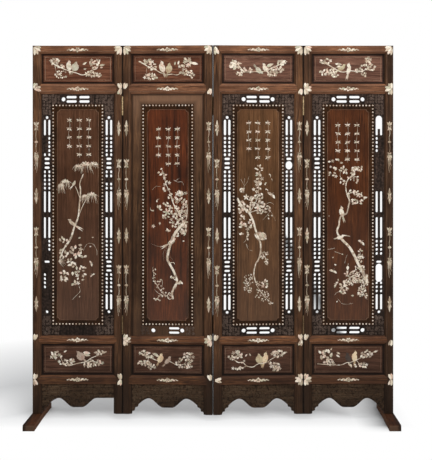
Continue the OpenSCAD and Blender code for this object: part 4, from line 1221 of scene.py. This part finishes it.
def plant_tree(k, leaf_size, stems, clusters, visitors):
    """Stems with their thickness at both ends, clusters of blossom, and what flies or sits about them."""
    tree, extras = Planting(random.Random(90 + k), FIELD_HALF_W), Drawing()
    for stem in stems:
        tree.stem(*stem)
    tree.clusters(extras, clusters)
    for draw, *where in visitors:
        draw(extras, *where)
    tree.grow("centre_tree", k, CENTRE_FACE, *leaf_size, 11 * k, inlay_shell)
    extras.let_in(f"pearl_centre_creatures_{k}", k, CENTRE_FACE, inlay_shell)


# The first leaf's tree leans in from the left under tufts of long leaves.
plant_tree(1, (11, 4.6), [
    ([(-62, 816), (-35, 858), (-18, 911), (2, 964), (8, 1029), (13, 1086), (10, 1127), (27, 1172)], 11, 5),
    ([(9, 1058), (-3, 1090), (-12, 1112)], 4.5, 2.5),
    ([(6, 976), (19, 1005), (30, 1029), (43, 1050)], 4.5, 2.5),
    ([(26, 797), (47, 831), (75, 829), (92, 801), (94, 773)], 1.6, 1.2),
    ([(6, 622), (11, 598), (-6, 579), (-27, 557)], 1.8, 1.0),
    ([(-88, 761), (-71, 801), (-62, 816)], 7, 6),
    ([(-47, 748), (-6, 720), (-6, 687)], 3, 2),
], [
    (-67, 848, 20, 20, 0, 5, 14), (-6, 795, 33, 35, 1, 11, 16), (-69, 789, 20, 29, 0, 8, 15),
    (16, 708, 24, 11, 0, 6, 14), (-71, 671, 25, 27, 1, 8, 15), (-8, 687, 18, 18, 1, 3, 15),
    (-11, 643, 20, 20, 1, 4, 14), (27, 667, 14, 19, 1, 2, 14), (-35, 736, 24, 20, 0, 8, 14),
    (10, 862, 6, 6, 0, 1, 12), (73, 860, 6, 6, 0, 1, 10), (63, 818, 3, 3, 0, 1, 8), (6, 571, 3, 3, 0, 1, 8),
    (24, 773, 16, 8, 0, 2, 16),
], [
    (tuft, 2, 1210, 30, 22), (tuft, 39, 1218, 44, 36), (tuft, 78, 1221, 34, 22), (tuft, -62, 1136, 32, 34),
    (tuft, -82, 1119, 22, 34), (tuft, 35, 1064, 26, 30), (tuft, 67, 1070, 38, 34),
    (bird, -20, 1124, 25, 1, 0.9, 1.1), (bird, -26, 930, 42, -1, 0.55, 1.3, 0.42),
    (grass, -93, 744, 36, -0.9, 1.2), (butterfly, 67, 735, 17, 0.4), (butterfly, 70, 679, 15, 2.2),
])

# The second leaf's stem winds upwards through thick blossom, a plumed bird in its bend.
plant_tree(2, (13, 5.4), [
    ([(26, 561), (22, 593), (35, 624), (46, 650), (30, 695), (8, 735), (-2, 761), (6, 801), (13, 828),
      (26, 863), (48, 899), (77, 932)], 10, 15),
    ([(8, 735), (26, 741), (35, 732)], 4, 2),
    ([(46, 650), (26, 664), (18, 677)], 5, 2.5),
    ([(44, 633), (39, 610)], 4, 2),
    ([(24, 579), (8, 593), (-1, 575), (8, 561), (24, 566)], 3.5, 3),
    ([(-1, 575), (-32, 597), (-49, 624), (-66, 650), (-69, 677), (-73, 717)], 3, 1.5),
    ([(-5, 579), (-32, 579), (-58, 561)], 2.4, 1.5),
    ([(-32, 606), (-26, 633), (-27, 655)], 1.8, 1.0),
    ([(-36, 584), (-54, 597), (-65, 610)], 1.8, 1.0),
    ([(77, 932), (57, 979), (30, 1023), (13, 1077), (-7, 1121), (-27, 1192)], 7, 2.5),
    ([(39, 1139), (57, 1152)], 1.4, 0.9),
    ([(30, 1143), (48, 1134), (70, 1134), (79, 1117)], 1.4, 0.9),
    ([(-76, 1094), (-58, 1112), (-36, 1112)], 1.4, 0.9),
    ([(77, 932), (94, 961), (97, 1023)], 6, 2),
], [
    (-27, 1199, 5, 6, 0, 1, 12), (-34, 1178, 12, 9, 1, 2, 12), (-11, 1161, 10, 9, 1, 1, 13),
    (-4, 1129, 15, 13, 2, 1, 14), (-9, 1100, 15, 12, 2, 1, 13), (11, 1076, 7, 7, 1, 1, 11),
    (22, 1055, 20, 11, 1, 3, 13), (53, 1076, 18, 13, 1, 3, 20), (85, 1076, 10, 8, 1, 0, 13),
    (-17, 997, 18, 18, 1, 0, 30), (-5, 1025, 15, 9, 0, 4, 14), (-40, 1006, 11, 15, 0, 4, 13),
    (-12, 964, 18, 11, 0, 5, 12), (13, 997, 10, 22, 0, 5, 13), (66, 1041, 27, 18, 2, 5, 14),
    (86, 1019, 13, 18, 2, 2, 13), (48, 1001, 15, 18, 1, 5, 14), (79, 979, 23, 22, 4, 4, 14),
    (39, 970, 15, 16, 1, 4, 13), (26, 943, 15, 15, 2, 1, 13), (66, 943, 27, 15, 2, 6, 13),
    (88, 926, 13, 18, 0, 6, 15), (4, 896, 13, 7, 0, 4, 11), (48, 877, 11, 11, 0, 3, 12),
    (39, 917, 18, 11, 1, 3, 12), (-63, 917, 9, 9, 1, 0, 14), (-41, 932, 5, 7, 0, 1, 12),
    (78, 843, 4, 4, 0, 1, 8), (-66, 695, 9, 15, 0, 4, 9), (-66, 668, 9, 9, 1, 2, 7),
    (-65, 641, 8, 9, 2, 1, 7),
    (-41, 624, 13, 13, 2, 2, 8), (-27, 604, 11, 12, 2, 1, 9), (-32, 577, 12, 9, 2, 1, 9),
    (-9, 581, 9, 12, 2, 0, 9), (-56, 563, 11, 7, 0, 4, 9), (-41, 557, 5, 4, 0, 2, 9),
    (15, 579, 18, 18, 3, 0, 8), (62, 646, 12, 12, 0, 3, 14), (22, 668, 9, 9, 0, 3, 10),
    (84, 890, 18, 18, 0, 6, 15), (-49, 650, 18, 18, 0, 3, 10),
], [
    (bird, 18, 840, 42, 1, 0.5, 1.3, 0.5), (curled_petal, -47, 1043, 20, 0.9),
    (curled_petal, -77, 1001, 24, 2.4), (plumes, -5, 824, 78, -2.5),
])

# On the third leaf one branch comes in from the left and hangs, another stands.
plant_tree(3, (12, 5.0), [
    ([(-104, 1054), (-76, 1011), (-45, 983), (-27, 948), (-14, 903), (0, 863), (11, 832), (11, 788),
      (0, 752), (-14, 729), (-21, 681), (-12, 641)], 13, 5.5),
    ([(-45, 983), (-18, 1023), (0, 1068), (2, 1112), (4, 1157), (6, 1188)], 4, 1.5),
    ([(-45, 983), (0, 997), (31, 997), (53, 1006)], 3.5, 1.6),
    ([(11, 797), (31, 770), (44, 739)], 2.6, 1.4, 0.3),
    ([(-21, 681), (-36, 659), (-53, 633)], 3, 1.6),
    ([(-12, 646), (18, 624)], 3, 2),
    ([(-12, 637), (13, 597), (44, 561), (71, 539)], 3, 1.4),
    ([(-71, 1081), (-69, 1121), (-67, 1152)], 1.3, 0.9),
    ([(-69, 1112), (-53, 1134), (-45, 1161)], 1.2, 0.8),
    ([(-71, 1121), (-85, 1148)], 1.2, 0.8),
    ([(35, 1023), (58, 1034), (76, 1023)], 1.4, 0.9),
    ([(22, 948), (44, 970), (62, 988), (84, 943)], 1.4, 0.9),
    ([(-71, 837), (-58, 855), (-53, 890)], 1.4, 1.0),
    ([(-58, 832), (-49, 806), (-27, 797)], 1.4, 0.9),
    ([(-18, 881), (-7, 861), (9, 846)], 8, 8),
], [
    (6, 1199, 18, 18, 0, 8, 10), (-1, 1171, 15, 7, 0, 4, 12), (2, 1143, 18, 15, 1, 3, 16),
    (-2, 1123, 18, 9, 1, 2, 14), (34, 1126, 6, 5, 0, 2, 9), (-5, 1098, 21, 12, 2, 2, 14),
    (-79, 1093, 12, 12, 1, 4, 12), (-67, 1068, 13, 13, 1, 0, 24), (-36, 1054, 18, 8, 0, 5, 14),
    (5, 1063, 20, 14, 2, 4, 14), (-27, 1028, 12, 13, 1, 3, 14), (4, 1023, 27, 18, 2, 8, 14),
    (10, 993, 15, 15, 0, 7, 12), (-85, 1023, 18, 18, 1, 5, 16), (-58, 1006, 22, 13, 0, 6, 16),
    (-89, 997, 12, 13, 0, 4, 14), (-75, 960, 16, 12, 1, 4, 12), (-80, 923, 20, 13, 0, 7, 14),
    (-40, 935, 16, 15, 1, 3, 14), (-49, 907, 13, 12, 1, 1, 16), (-82, 880, 10, 5, 0, 3, 11),
    (-51, 875, 6, 13, 0, 3, 11), (-53, 857, 4, 4, 0, 1, 10), (42, 1001, 16, 18, 0, 5, 13),
    (58, 966, 13, 13, 0, 3, 8), (30, 788, 15, 9, 2, 3, 9), (26, 770, 16, 11, 1, 3, 9),
    (35, 752, 12, 11, 1, 3, 9), (41, 734, 7, 6, 0, 3, 9), (44, 781, 6, 4, 0, 2, 9),
    (-45, 668, 22, 15, 7, 2, 7), (-49, 641, 24, 18, 9, 2, 7), (-49, 615, 20, 15, 6, 2, 8),
    (-40, 599, 9, 7, 2, 1, 7), (0, 637, 13, 13, 3, 1, 7), (31, 633, 22, 18, 2, 6, 12),
    (35, 650, 7, 5, 0, 2, 12), (4, 599, 18, 13, 5, 2, 7), (31, 584, 22, 16, 8, 3, 7),
    (35, 561, 20, 13, 5, 2, 7), (62, 540, 10, 4, 0, 4, 8), (-5, 575, 12, 9, 0, 3, 9),
], [
    (bird, 21, 868, 44, -1, 0.5, 0.35, 0.95), (curled_petal, 42, 1092, 18, -0.8),
    (butterfly, 68, 1073, 26, 0.9), (curled_petal, 56, 1164, 18, -1.2), (curled_petal, 65, 1143, 14, -1.4),
])

# The fourth leaf's trunk comes up from the right and turns back at two birds.
plant_tree(4, (12, 5.2), [
    ([(96, 637), (81, 672), (65, 704), (46, 739), (27, 779), (5, 815), (-25, 846), (-46, 872)], 17, 12),
    ([(-46, 868), (-54, 895), (-45, 921), (-41, 952), (-29, 972), (-8, 979), (2, 1015), (7, 1041),
      (-4, 1068), (-11, 1099), (-9, 1126), (1, 1148), (18, 1161), (31, 1183)], 10, 4),
    ([(-31, 872), (-13, 871), (9, 867)], 7, 4),
    ([(-9, 1121), (-26, 1143), (-39, 1161), (-35, 1188)], 2.6, 1.6),
    ([(18, 1161), (40, 1157), (46, 1130)], 2.2, 1.4),
    ([(-2, 1068), (14, 1081), (40, 1081)], 3, 1.6),
    ([(40, 1081), (67, 1068), (85, 1052)], 2.2, 1.4),
    ([(7, 1041), (31, 1032), (40, 1041)], 2.2, 1.4),
    ([(-102, 803), (-75, 807), (-65, 810)], 1.6, 1.0),
    ([(-65, 792), (-44, 785), (-29, 779)], 1.6, 1.0),
    ([(-17, 735), (-11, 761), (-4, 779)], 1.4, 0.9),
    ([(67, 699), (31, 677), (-4, 659), (-22, 633)], 4, 2),
    ([(81, 672), (67, 633), (71, 597), (95, 557)], 4, 1.6),
    ([(-66, 579), (-53, 593), (-26, 597)], 1.0, 0.8),
    ([(-49, 561), (-31, 539), (-4, 535), (23, 539)], 1.0, 0.8),
    ([(46, 739), (58, 766), (58, 797)], 2.6, 1.6),
    ([(0, 695), (-2, 717), (1, 735)], 1.8, 1.2),
], [
    (-80, 1233, 12, 8, 1, 1, 13), (-49, 1242, 8, 7, 0, 2, 14), (-37, 1228, 6, 4, 0, 1, 12),
    (-90, 1203, 6, 9, 1, 0, 10), (-65, 1203, 7, 10, 0, 2, 15), (-88, 1173, 9, 8, 1, 1, 11),
    (-62, 1169, 12, 9, 1, 2, 12), (-26, 1196, 18, 11, 1, 5, 12), (-17, 1181, 12, 6, 0, 3, 12),
    (-26, 1129, 13, 10, 1, 2, 11), (-33, 1143, 5, 9, 0, 1, 12), (31, 1196, 13, 11, 0, 6, 13),
    (23, 1174, 13, 11, 0, 5, 12), (58, 1197, 13, 13, 1, 4, 12), (40, 1201, 8, 6, 0, 2, 12),
    (14, 1154, 20, 9, 1, 3, 12), (46, 1150, 5, 13, 0, 3, 11), (43, 1129, 4, 5, 0, 1, 10),
    (29, 1145, 5, 4, 0, 1, 11), (7, 1081, 9, 12, 0, 3, 12), (36, 1082, 15, 10, 0, 6, 12),
    (49, 1065, 11, 8, 0, 3, 12), (67, 1071, 7, 9, 0, 3, 12), (84, 1054, 7, 7, 0, 3, 10),
    (65, 1037, 6, 12, 0, 3, 12), (33, 1034, 16, 12, 0, 6, 12), (27, 1045, 6, 5, 0, 1, 12),
    (5, 1063, 5, 7, 0, 2, 10), (58, 795, 10, 10, 0, 3, 11), (49, 766, 13, 12, 0, 5, 11),
    (68, 766, 9, 12, 1, 2, 12), (58, 748, 9, 7, 0, 2, 11), (0, 717, 5, 11, 0, 1, 20),
    (-4, 685, 16, 15, 2, 4, 10), (40, 712, 9, 12, 0, 3, 11), (27, 690, 18, 9, 0, 6, 10),
    (67, 712, 15, 13, 1, 4, 11), (49, 672, 27, 13, 1, 10, 10), (83, 659, 15, 22, 2, 6, 12),
    (18, 659, 18, 13, 2, 5, 10), (14, 641, 13, 12, 1, 4, 10), (49, 650, 22, 12, 1, 8, 11),
    (85, 624, 11, 22, 1, 5, 11), (67, 610, 18, 15, 2, 5, 11), (63, 584, 15, 11, 1, 5, 11),
    (85, 579, 9, 13, 0, 4, 11), (-22, 628, 20, 16, 1, 3, 18), (-26, 599, 15, 13, 0, 5, 13),
    (-4, 615, 11, 12, 0, 3, 11), (-9, 646, 12, 9, 1, 2, 11), (-29, 781, 4, 4, 0, 1, 8),
    (-77, 761, 4, 4, 0, 1, 8), (-65, 728, 4, 4, 0, 1, 9), (-49, 654, 4, 5, 0, 1, 10),
    (-53, 548, 4, 4, 0, 1, 8), (20, 577, 6, 4, 0, 1, 12), (-96, 967, 3, 3, 0, 1, 6),
], [
    (bird, -31, 983, 46, -1, 1.25, 0.95, 0.55), (bird, -41, 861, 34, 1, 0.15, 0.7, 0.55),
    (butterfly, 67, 840, 22, 0.9), (butterfly, -72, 699, 22, 1.2), (butterfly, -62, 633, 20, 2.6),
])

# Stringing: fine pale lines round the raised line of the small panels and along the edge of
# each centre field, with its round notches. A pale rod on top of every moulding's bead is a painted
# highlight.
BEAD_LINE_OUT, BEAD_LINE_TOP, BEAD_LINE_R = 12.0, 0.2, 1.1
SMALL_LINE_IN, SMALL_LINE_TOP, SMALL_LINE_R = 16.5, 1.0, 1.3
FIELD_W, FIELD_H = 207.0, 1035.0
FIELD_LINE_IN, FIELD_LINE_TOP, FIELD_LINE_R = 3.0, 0.2, 1.0
NOTCH_R, NOTCH_STEPS = 12.0, 5
MAIN_MIDDLE = sum(OPENINGS["main"]) / 2
pale_string = hardwood("pale_stringing", ((116, 86, 66), (160, 126, 102), (196, 164, 138)), "z")
dull_string_and_highlight = hardwood("dulled_stringing_and_highlight", ((102, 74, 56), (138, 104, 82), (170, 136, 110)), "z")
line_tree, line_in, line_out = geometry_tree("stringing", {"Radius": ("NodeSocketFloat", 1.0)})
run = put(line_tree, "GeometryNodeMeshToCurve", {"Mesh": line_in.outputs["Geometry"]}).outputs[0]
rod = round_wire(line_tree, 8, line_in.outputs["Radius"])
string = put(line_tree, "GeometryNodeCurveToMesh", {"Curve": run, "Profile Curve": rod}).outputs[0]
finish_tree(line_tree, line_in, line_out, string)


def rectangle(half_w, low, high, top):
    return [(-half_w, low, top), (half_w, low, top), (half_w, high, top), (-half_w, high, top)]


def notched_loop(half_w, middle, half_h, r, top):
    loop = []
    for su, sv in ((1, 1), (-1, 1), (-1, -1), (1, -1)):
        arc = []
        for i in range(NOTCH_STEPS + 1):
            a = math.radians(90 * i / NOTCH_STEPS)
            arc.append((su * (half_w - r * math.cos(a)), middle + sv * (half_h - r * math.sin(a)), top))
        loop += arc if su * sv < 0 else arc[::-1]
    return loop


def lay_strings(name, k, depth, loops, radius, wood):
    """A fine string laid along each closed line."""
    points, edges = [], []
    for loop in loops:
        start = len(points)
        points += loop
        edges += [(start + i, start + (i + 1) % len(loop)) for i in range(len(loop))]
    values = {"Radius": radius, "Material": wood}
    grow_piece(f"{name}_stringing_{k}", k, face_place(k, depth), line_tree, values, points, edges, {})


for k in LEAF_NUMBERS:
    mouldings = [
        rectangle(OPENING_W / 2 + BEAD_LINE_OUT, low - BEAD_LINE_OUT, high + BEAD_LINE_OUT, -BEAD_LINE_TOP)
        for low, high in OPENINGS.values()
    ]
    small_lines = [
        rectangle(OPENING_W / 2 - SMALL_LINE_IN, low + SMALL_LINE_IN, high - SMALL_LINE_IN, SMALL_LINE_TOP)
        for low, high in (OPENINGS["upper"], OPENINGS["lower"])
    ]
    half_w, half_h = FIELD_W / 2 - FIELD_LINE_IN, FIELD_H / 2 - FIELD_LINE_IN
    centre_line = notched_loop(half_w, MAIN_MIDDLE, half_h, NOTCH_R, FIELD_LINE_TOP)
    # A pale rod along each moulding's bead: a painted highlight.
    lay_strings("moulding", k, FRAME_FACE, mouldings, BEAD_LINE_R, dull_string_and_highlight)
    lay_strings("small_panel", k, PANEL_FACE, small_lines, SMALL_LINE_R, pale_string)
    lay_strings("centre_panel", k, CENTRE_FACE, [centre_line], FIELD_LINE_R, dull_string_and_highlight)


# Carved scrolls: volutes of two hands stand out of the solid corners of the fretwork and
# cover the aprons. They are carved in the piece itself, so they share its wood, paler where
# they are rubbed.
SCROLL_STEPS = 8
ROPE_R = 0.1
SCROLL_PITCH = 14.0
SCROLL_WANDER = 3.0
FRET_FACE = -7.0
FRET_RIM, FRET_BEAD, FRET_SCROLL_RISE = 3.0, 4.0, 1.5
SIDE_SOLID_FROM, BAND_SOLID_FROM = 492.0, 88.0
MAIN_HALF_H = (OPENINGS["main"][1] - OPENINGS["main"][0]) / 2
APRON_ARCH_X, APRON_ARCH_V, APRON_DROP_V, APRON_END_V = 93.0, 76.0, 31.0, 8.0
APRON_DROP_HALF, APRON_OUTER_FALL = 20.0, 1.6
APRON_COLUMNS, APRON_ROWS = 24, 9
APRON_LOWEST, APRON_ROW_PITCH, APRON_STAGGER = 16.0, 15.0, 5.0
APRON_RIM, APRON_EDGE_CLEAR, APRON_SCROLL_RISE = 8.0, 11.0, 1.6
fret_crest_wood = hardwood("fretwork_crests", ((74, 59, 50), (114, 95, 84), (154, 132, 119)), "z")
apron_crest_wood = hardwood("apron_crests", ((90, 68, 50), (150, 119, 91), (196, 164, 131)), "x")
scroll_tree, scroll_in, scroll_out = geometry_tree("carved_scrolls", {
    "Turns": ("NodeSocketFloat", 1.5), "Rise": ("NodeSocketFloat", 2.2), "Seed": ("NodeSocketInt", 1),
})
rope = round_wire(scroll_tree, 4, ROPE_R)
size = drawn_measure(scroll_tree, "size")
spin = random_number(scroll_tree, 0.0, 2 * math.pi, scroll_in.outputs["Seed"])
tall = times(scroll_tree, scroll_in.outputs["Rise"], 1 / ROPE_R)
hand = by_turns(scroll_tree)
scrolls = []
for reverse, rule in ((False, "LESS_THAN"), (True, "GREATER_THAN")):
    spiral = put(scroll_tree, "GeometryNodeCurveSpiral", {
        "Resolution": SCROLL_STEPS, "Rotations": scroll_in.outputs["Turns"], "Start Radius": 0.08,
        "End Radius": 0.5, "Height": 0.0, "Reverse": reverse,
    }).outputs[0]
    volute = put(scroll_tree, "GeometryNodeCurveToMesh", {
        "Curve": spiral, "Profile Curve": rope, "Fill Caps": True,
    }).outputs[0]
    chosen = put(scroll_tree, "FunctionNodeCompare", {0: hand, 1: 0.5}, data_type="FLOAT", operation=rule)
    scrolls.append(put(scroll_tree, "GeometryNodeInstanceOnPoints", {
        "Points": scroll_in.outputs["Geometry"], "Selection": chosen.outputs[0], "Instance": volute,
        "Rotation": vector(scroll_tree, 0.0, 0.0, spin), "Scale": vector(scroll_tree, size, size, tall),
    }).outputs[0])
finish_tree(scroll_tree, scroll_in, scroll_out, join(scroll_tree, *scrolls))


def apron_edge(u):
    """The height of the apron's lower edge: a middle drop, two arches and a fall to the ends."""
    if abs(u) < APRON_ARCH_X:
        share = min(1.0, (APRON_ARCH_X - abs(u)) / (APRON_ARCH_X - APRON_DROP_HALF))
        return APRON_DROP_V + (APRON_ARCH_V - APRON_DROP_V) * (1 + math.cos(math.pi * share)) / 2
    share = 1 - ((abs(u) - APRON_ARCH_X) / (OPENING_W / 2 - APRON_ARCH_X)) ** APRON_OUTER_FALL
    return APRON_END_V + (APRON_ARCH_V - APRON_END_V) * share


def scroll_spots(u_ends, v_ends):
    """Even places for scrolls in a rectangle."""
    (low_u, high_u), (low_v, high_v) = sorted(u_ends), sorted(v_ends)
    columns = max(1, round((high_u - low_u) / SCROLL_PITCH))
    rows = max(1, round((high_v - low_v) / SCROLL_PITCH))
    return [
        (low_u + (i + 0.5) * (high_u - low_u) / columns, low_v + (j + 0.5) * (high_v - low_v) / rows)
        for i in range(columns) for j in range(rows)
    ]


def fret_spots(k):
    """The solid corners of leaf k's fretwork; the second leaf has them at the bottom only."""
    spots = []
    outer, inner = OPENING_W / 2 - FRET_RIM, OPENING_W / 2 - STRIP_W + FRET_BEAD
    for end in (-1,) if k == 2 else (-1, 1):
        band = [MAIN_MIDDLE + end * v for v in (MAIN_HALF_H - STRIP_W + FRET_BEAD, MAIN_HALF_H - FRET_RIM)]
        strip = [MAIN_MIDDLE + end * v for v in (SIDE_SOLID_FROM, MAIN_HALF_H - STRIP_W)]
        for side in (-1, 1):
            if k != 2:
                spots += scroll_spots((side * inner, side * outer), strip)
            spots += scroll_spots((side * BAND_SOLID_FROM, side * (outer if k != 2 else inner)), band)
    return spots


def carve(name, k, spots, sizes, rise, seed, wood):
    values = {"Rise": rise, "Seed": seed, "Material": wood}
    place = face_place(k, FRET_FACE)
    grow_piece(f"{name}_carving_{k}", k, place, scroll_tree, values, spots, [], {"size": sizes})


def wander(rng):
    return rng.uniform(-SCROLL_WANDER, SCROLL_WANDER)


for k in LEAF_NUMBERS:
    rng = random.Random(120 + k)
    spots = [(u + wander(rng), v + wander(rng)) for u, v in fret_spots(k)]
    sizes = [SCROLL_PITCH * rng.uniform(0.7, 1.2) for _ in spots]
    carve("fretwork", k, spots, sizes, FRET_SCROLL_RISE, k, fret_crest_wood)
    spots = []
    column_pitch = (OPENING_W - 2 * APRON_RIM) / (APRON_COLUMNS - 1)
    for i in range(APRON_COLUMNS):
        for j in range(APRON_ROWS):
            u = -OPENING_W / 2 + APRON_RIM + i * column_pitch + (j % 2) * APRON_STAGGER + wander(rng)
            v = APRON_LOWEST + j * APRON_ROW_PITCH + wander(rng)
            lowest = APRON_ARCH_V if k == 1 and u > APRON_ARCH_X else apron_edge(u)
            in_height = lowest + APRON_EDGE_CLEAR < v < RAILS["bottom"][0] - APRON_RIM
            if in_height and abs(u) < OPENING_W / 2 - APRON_RIM:
                spots.append((u, v))
    sizes = [SCROLL_PITCH * rng.uniform(0.8, 1.4) for _ in spots]
    carve("apron", k, spots, sizes, APRON_SCROLL_RISE, 30 + k, apron_crest_wood)


# Hinge screws: three slotted brass screws, countersunk in each plate. They show when the
# screen is folded.
HINGE_HEIGHTS = (435.0, 1505.0)
SCREW_STEPS = (-32.0, 0.0, 32.0)
SCREW_STAGGER = 4.0
PLATE_PROUD = 0.05
PLATE_MIDDLE = 5.0
HEAD_T = 1.0
HEAD_PROUD = 0.05
SLOT_T = 0.8
screw_tree, screw_in, screw_out = geometry_tree("hinge_screws", {
    "Head": ("NodeSocketFloat", 3.2), "Slot": ("NodeSocketFloat", 0.8), "Seed": ("NodeSocketInt", 1),
})
slot_length = times(screw_tree, screw_in.outputs["Head"], 3.0)
disc = put(screw_tree, "GeometryNodeMeshCylinder", {
    "Vertices": 20, "Radius": screw_in.outputs["Head"], "Depth": HEAD_T,
}).outputs["Mesh"]
cutter = put(screw_tree, "GeometryNodeMeshCube", {
    "Size": vector(screw_tree, slot_length, screw_in.outputs["Slot"], SLOT_T),
}).outputs["Mesh"]
cutter = put(screw_tree, "GeometryNodeTransform", {
    "Geometry": cutter, "Translation": (0.0, 0.0, HEAD_T / 2),
}).outputs[0]
head = put(screw_tree, "GeometryNodeMeshBoolean", {
    "Mesh 1": disc, "Mesh 2": cutter,
}, operation="DIFFERENCE")
slot_turn = random_number(screw_tree, 0.0, math.pi, screw_in.outputs["Seed"])
screws = put(screw_tree, "GeometryNodeInstanceOnPoints", {
    "Points": screw_in.outputs["Geometry"], "Instance": head.outputs[0],
    "Rotation": vector(screw_tree, 0.0, 0.0, slot_turn),
}).outputs[0]
finish_tree(screw_tree, screw_in, screw_out, screws)

for k, side in ((1, 1), (2, -1), (2, 1), (3, -1), (3, 1), (4, -1)):
    behind = 1 if (k, side) in ((2, 1), (3, -1)) else -1
    turn = Matrix.Translation((side * LEAF_W / 2, 0, 0)) @ Matrix.Rotation(side * math.pi / 2, 4, "Z")
    turn = turn @ Matrix.Rotation(math.pi / 2, 4, "X")
    points = [
        (side * behind * PLATE_MIDDLE + (SCREW_STAGGER if i % 2 else -SCREW_STAGGER), z + step,
         PLATE_PROUD + HEAD_PROUD - HEAD_T / 2)
        for z in HINGE_HEIGHTS for i, step in enumerate(SCREW_STEPS)
    ]
    name = f"{'left' if side < 0 else 'right'}_hinge_screws_{k}"
    place = Matrix.Scale(MM, 4) @ leaf_place(k) @ turn
    values = {"Seed": 10 * k + side, "Material": hinge_brass}
    grow_piece(name, k, place, screw_tree, values, points, [], {})


# The room: a pale floor that keeps the screen's soft shadow and fades into a white ground, with
# a soft shadow painted beside the right foot, soft daylight from the front and from above, and
# the camera at the photograph's height.
FLOOR_SIZE = 30.0
SHADOW_REACH = (1.33, 2.52)
FRONT_EDGE = (-0.17, 0.17)
RIGHT_EDGE = (0.55, 0.97)
LEFT_EDGE, LEFT_FADE = (-1.12, -0.9), 0.65
LEFT_DEPTH = (0.1, 0.7)
# A soft shadow painted into the floor's colour beside the right foot's inner side.
FOOT_SHADOW = (("X", 0.69, 0.835), ("X", 0.9, 0.86), ("Y", -0.25, -0.12))
FOOT_SHADOW_STRENGTH = 0.7
floor_mesh = bpy.data.meshes.new("floor")
floor_corners = [(x * FLOOR_SIZE, y * FLOOR_SIZE, 0) for x, y in ((-1, -1), (1, -1), (1, 1), (-1, 1))]
floor_mesh.from_pydata(floor_corners, [], [(0, 1, 2, 3)])
floor = new_object("floor", floor_mesh)
floor_paint, floor_tree, floor_shader, floor_place = new_material("white_floor")
floor_x, floor_y = along_axis(floor_tree, floor_place, "X"), along_axis(floor_tree, floor_place, "Y")
from_middle = put(floor_tree, "ShaderNodeVectorMath", {0: floor_place}, operation="LENGTH").outputs["Value"]
left_fade = times(
    floor_tree, between(floor_tree, floor_x, *LEFT_EDGE, LEFT_FADE, 0.0),
    between(floor_tree, floor_y, *LEFT_DEPTH, 1.0, 0.0),
)
fade = between(floor_tree, from_middle, *SHADOW_REACH)
for edge_fade in (
    between(floor_tree, floor_y, *FRONT_EDGE, 1.0, 0.0), between(floor_tree, floor_x, *RIGHT_EDGE), left_fade,
):
    fade = arithmetic(floor_tree, "MAXIMUM", fade, edge_fade)
foot_shade = 1.0
for axis, start, end in FOOT_SHADOW:
    reach = between(floor_tree, floor_x if axis == "X" else floor_y, start, end)
    foot_shade = times(floor_tree, foot_shade, reach)
fade = times(floor_tree, fade, minus(floor_tree, 1.0, foot_shade))
foot_dark = times(floor_tree, foot_shade, FOOT_SHADOW_STRENGTH)
floor_color = blend_colors(floor_tree, foot_dark, (0.72, 0.73, 0.74, 1), grey(0.05))
plug(floor_tree, floor_shader, {"Base Color": floor_color, "Roughness": 0.8})
glow = put(floor_tree, "ShaderNodeEmission", {"Color": WHITE, "Strength": 1.0}).outputs[0]
seen = put(floor_tree, "ShaderNodeLightPath").outputs["Is Camera Ray"]
fade_seen = times(floor_tree, fade, seen)
mixed = put(floor_tree, "ShaderNodeMixShader", {0: fade_seen, 1: floor_shader.outputs[0], 2: glow}).outputs[0]
plug(floor_tree, floor_tree.nodes["Material Output"], {"Surface": mixed})
floor_mesh.materials.append(floor_paint)

AMBIENT = 0.5
scene = bpy.context.scene
world = bpy.data.worlds.new("white_room")
scene.world = world
world.use_nodes = True
sky = world.node_tree
paths = put(sky, "ShaderNodeLightPath").outputs
mirrored = arithmetic(sky, "MAXIMUM", paths["Is Glossy Ray"], paths["Is Transmission Ray"])
shown = arithmetic(sky, "MAXIMUM", paths["Is Camera Ray"], mirrored)
level = between(sky, shown, 0.0, 1.0, AMBIENT, 1.0)
plug(sky, sky.nodes["Background"], {"Color": WHITE, "Strength": level})


def soft_lamp(name, place, target, size, power):
    lamp = bpy.data.lights.new(name, "AREA")
    lamp.shape = "SQUARE"
    lamp.size = size
    lamp.energy = power
    made = new_object(name, lamp)
    made.location = place
    made.rotation_euler = (Vector(target) - Vector(place)).to_track_quat("-Z", "Y").to_euler()


soft_lamp("front_light", (1.6, -5.5, 4.2), (0, 0, 0.9), 3.0, 175)
soft_lamp("top_light", (0.3, -0.6, 4.5), (0, 0, 0), 2.5, 90)

PHOTO_LONG_SIDE = 460
FOCAL_PX = 1023
HORIZON_SHIFT_PX = 80
SENSOR_W = 36.0
CAMERA_RIGHT = 0.115
CAMERA_BACK = 5.016
CAMERA_UP = 1.318
FRONT_FACE = 0.016
MIDDLE_OF_VIEW = 0.015
aside = (CAMERA_RIGHT - MIDDLE_OF_VIEW) / (CAMERA_BACK - FRONT_FACE)
camera_data = bpy.data.cameras.new("camera")
camera_data.sensor_width = SENSOR_W
camera_data.lens = FOCAL_PX * SENSOR_W / PHOTO_LONG_SIDE
camera_data.shift_x = -FOCAL_PX * aside / PHOTO_LONG_SIDE
camera_data.shift_y = -HORIZON_SHIFT_PX / PHOTO_LONG_SIDE
camera = new_object("camera", camera_data)
camera.location = (CAMERA_RIGHT, -CAMERA_BACK, CAMERA_UP)
camera.rotation_euler = (math.pi / 2, 0, 0)
scene.camera = camera
scene.view_settings.view_transform = "Standard"
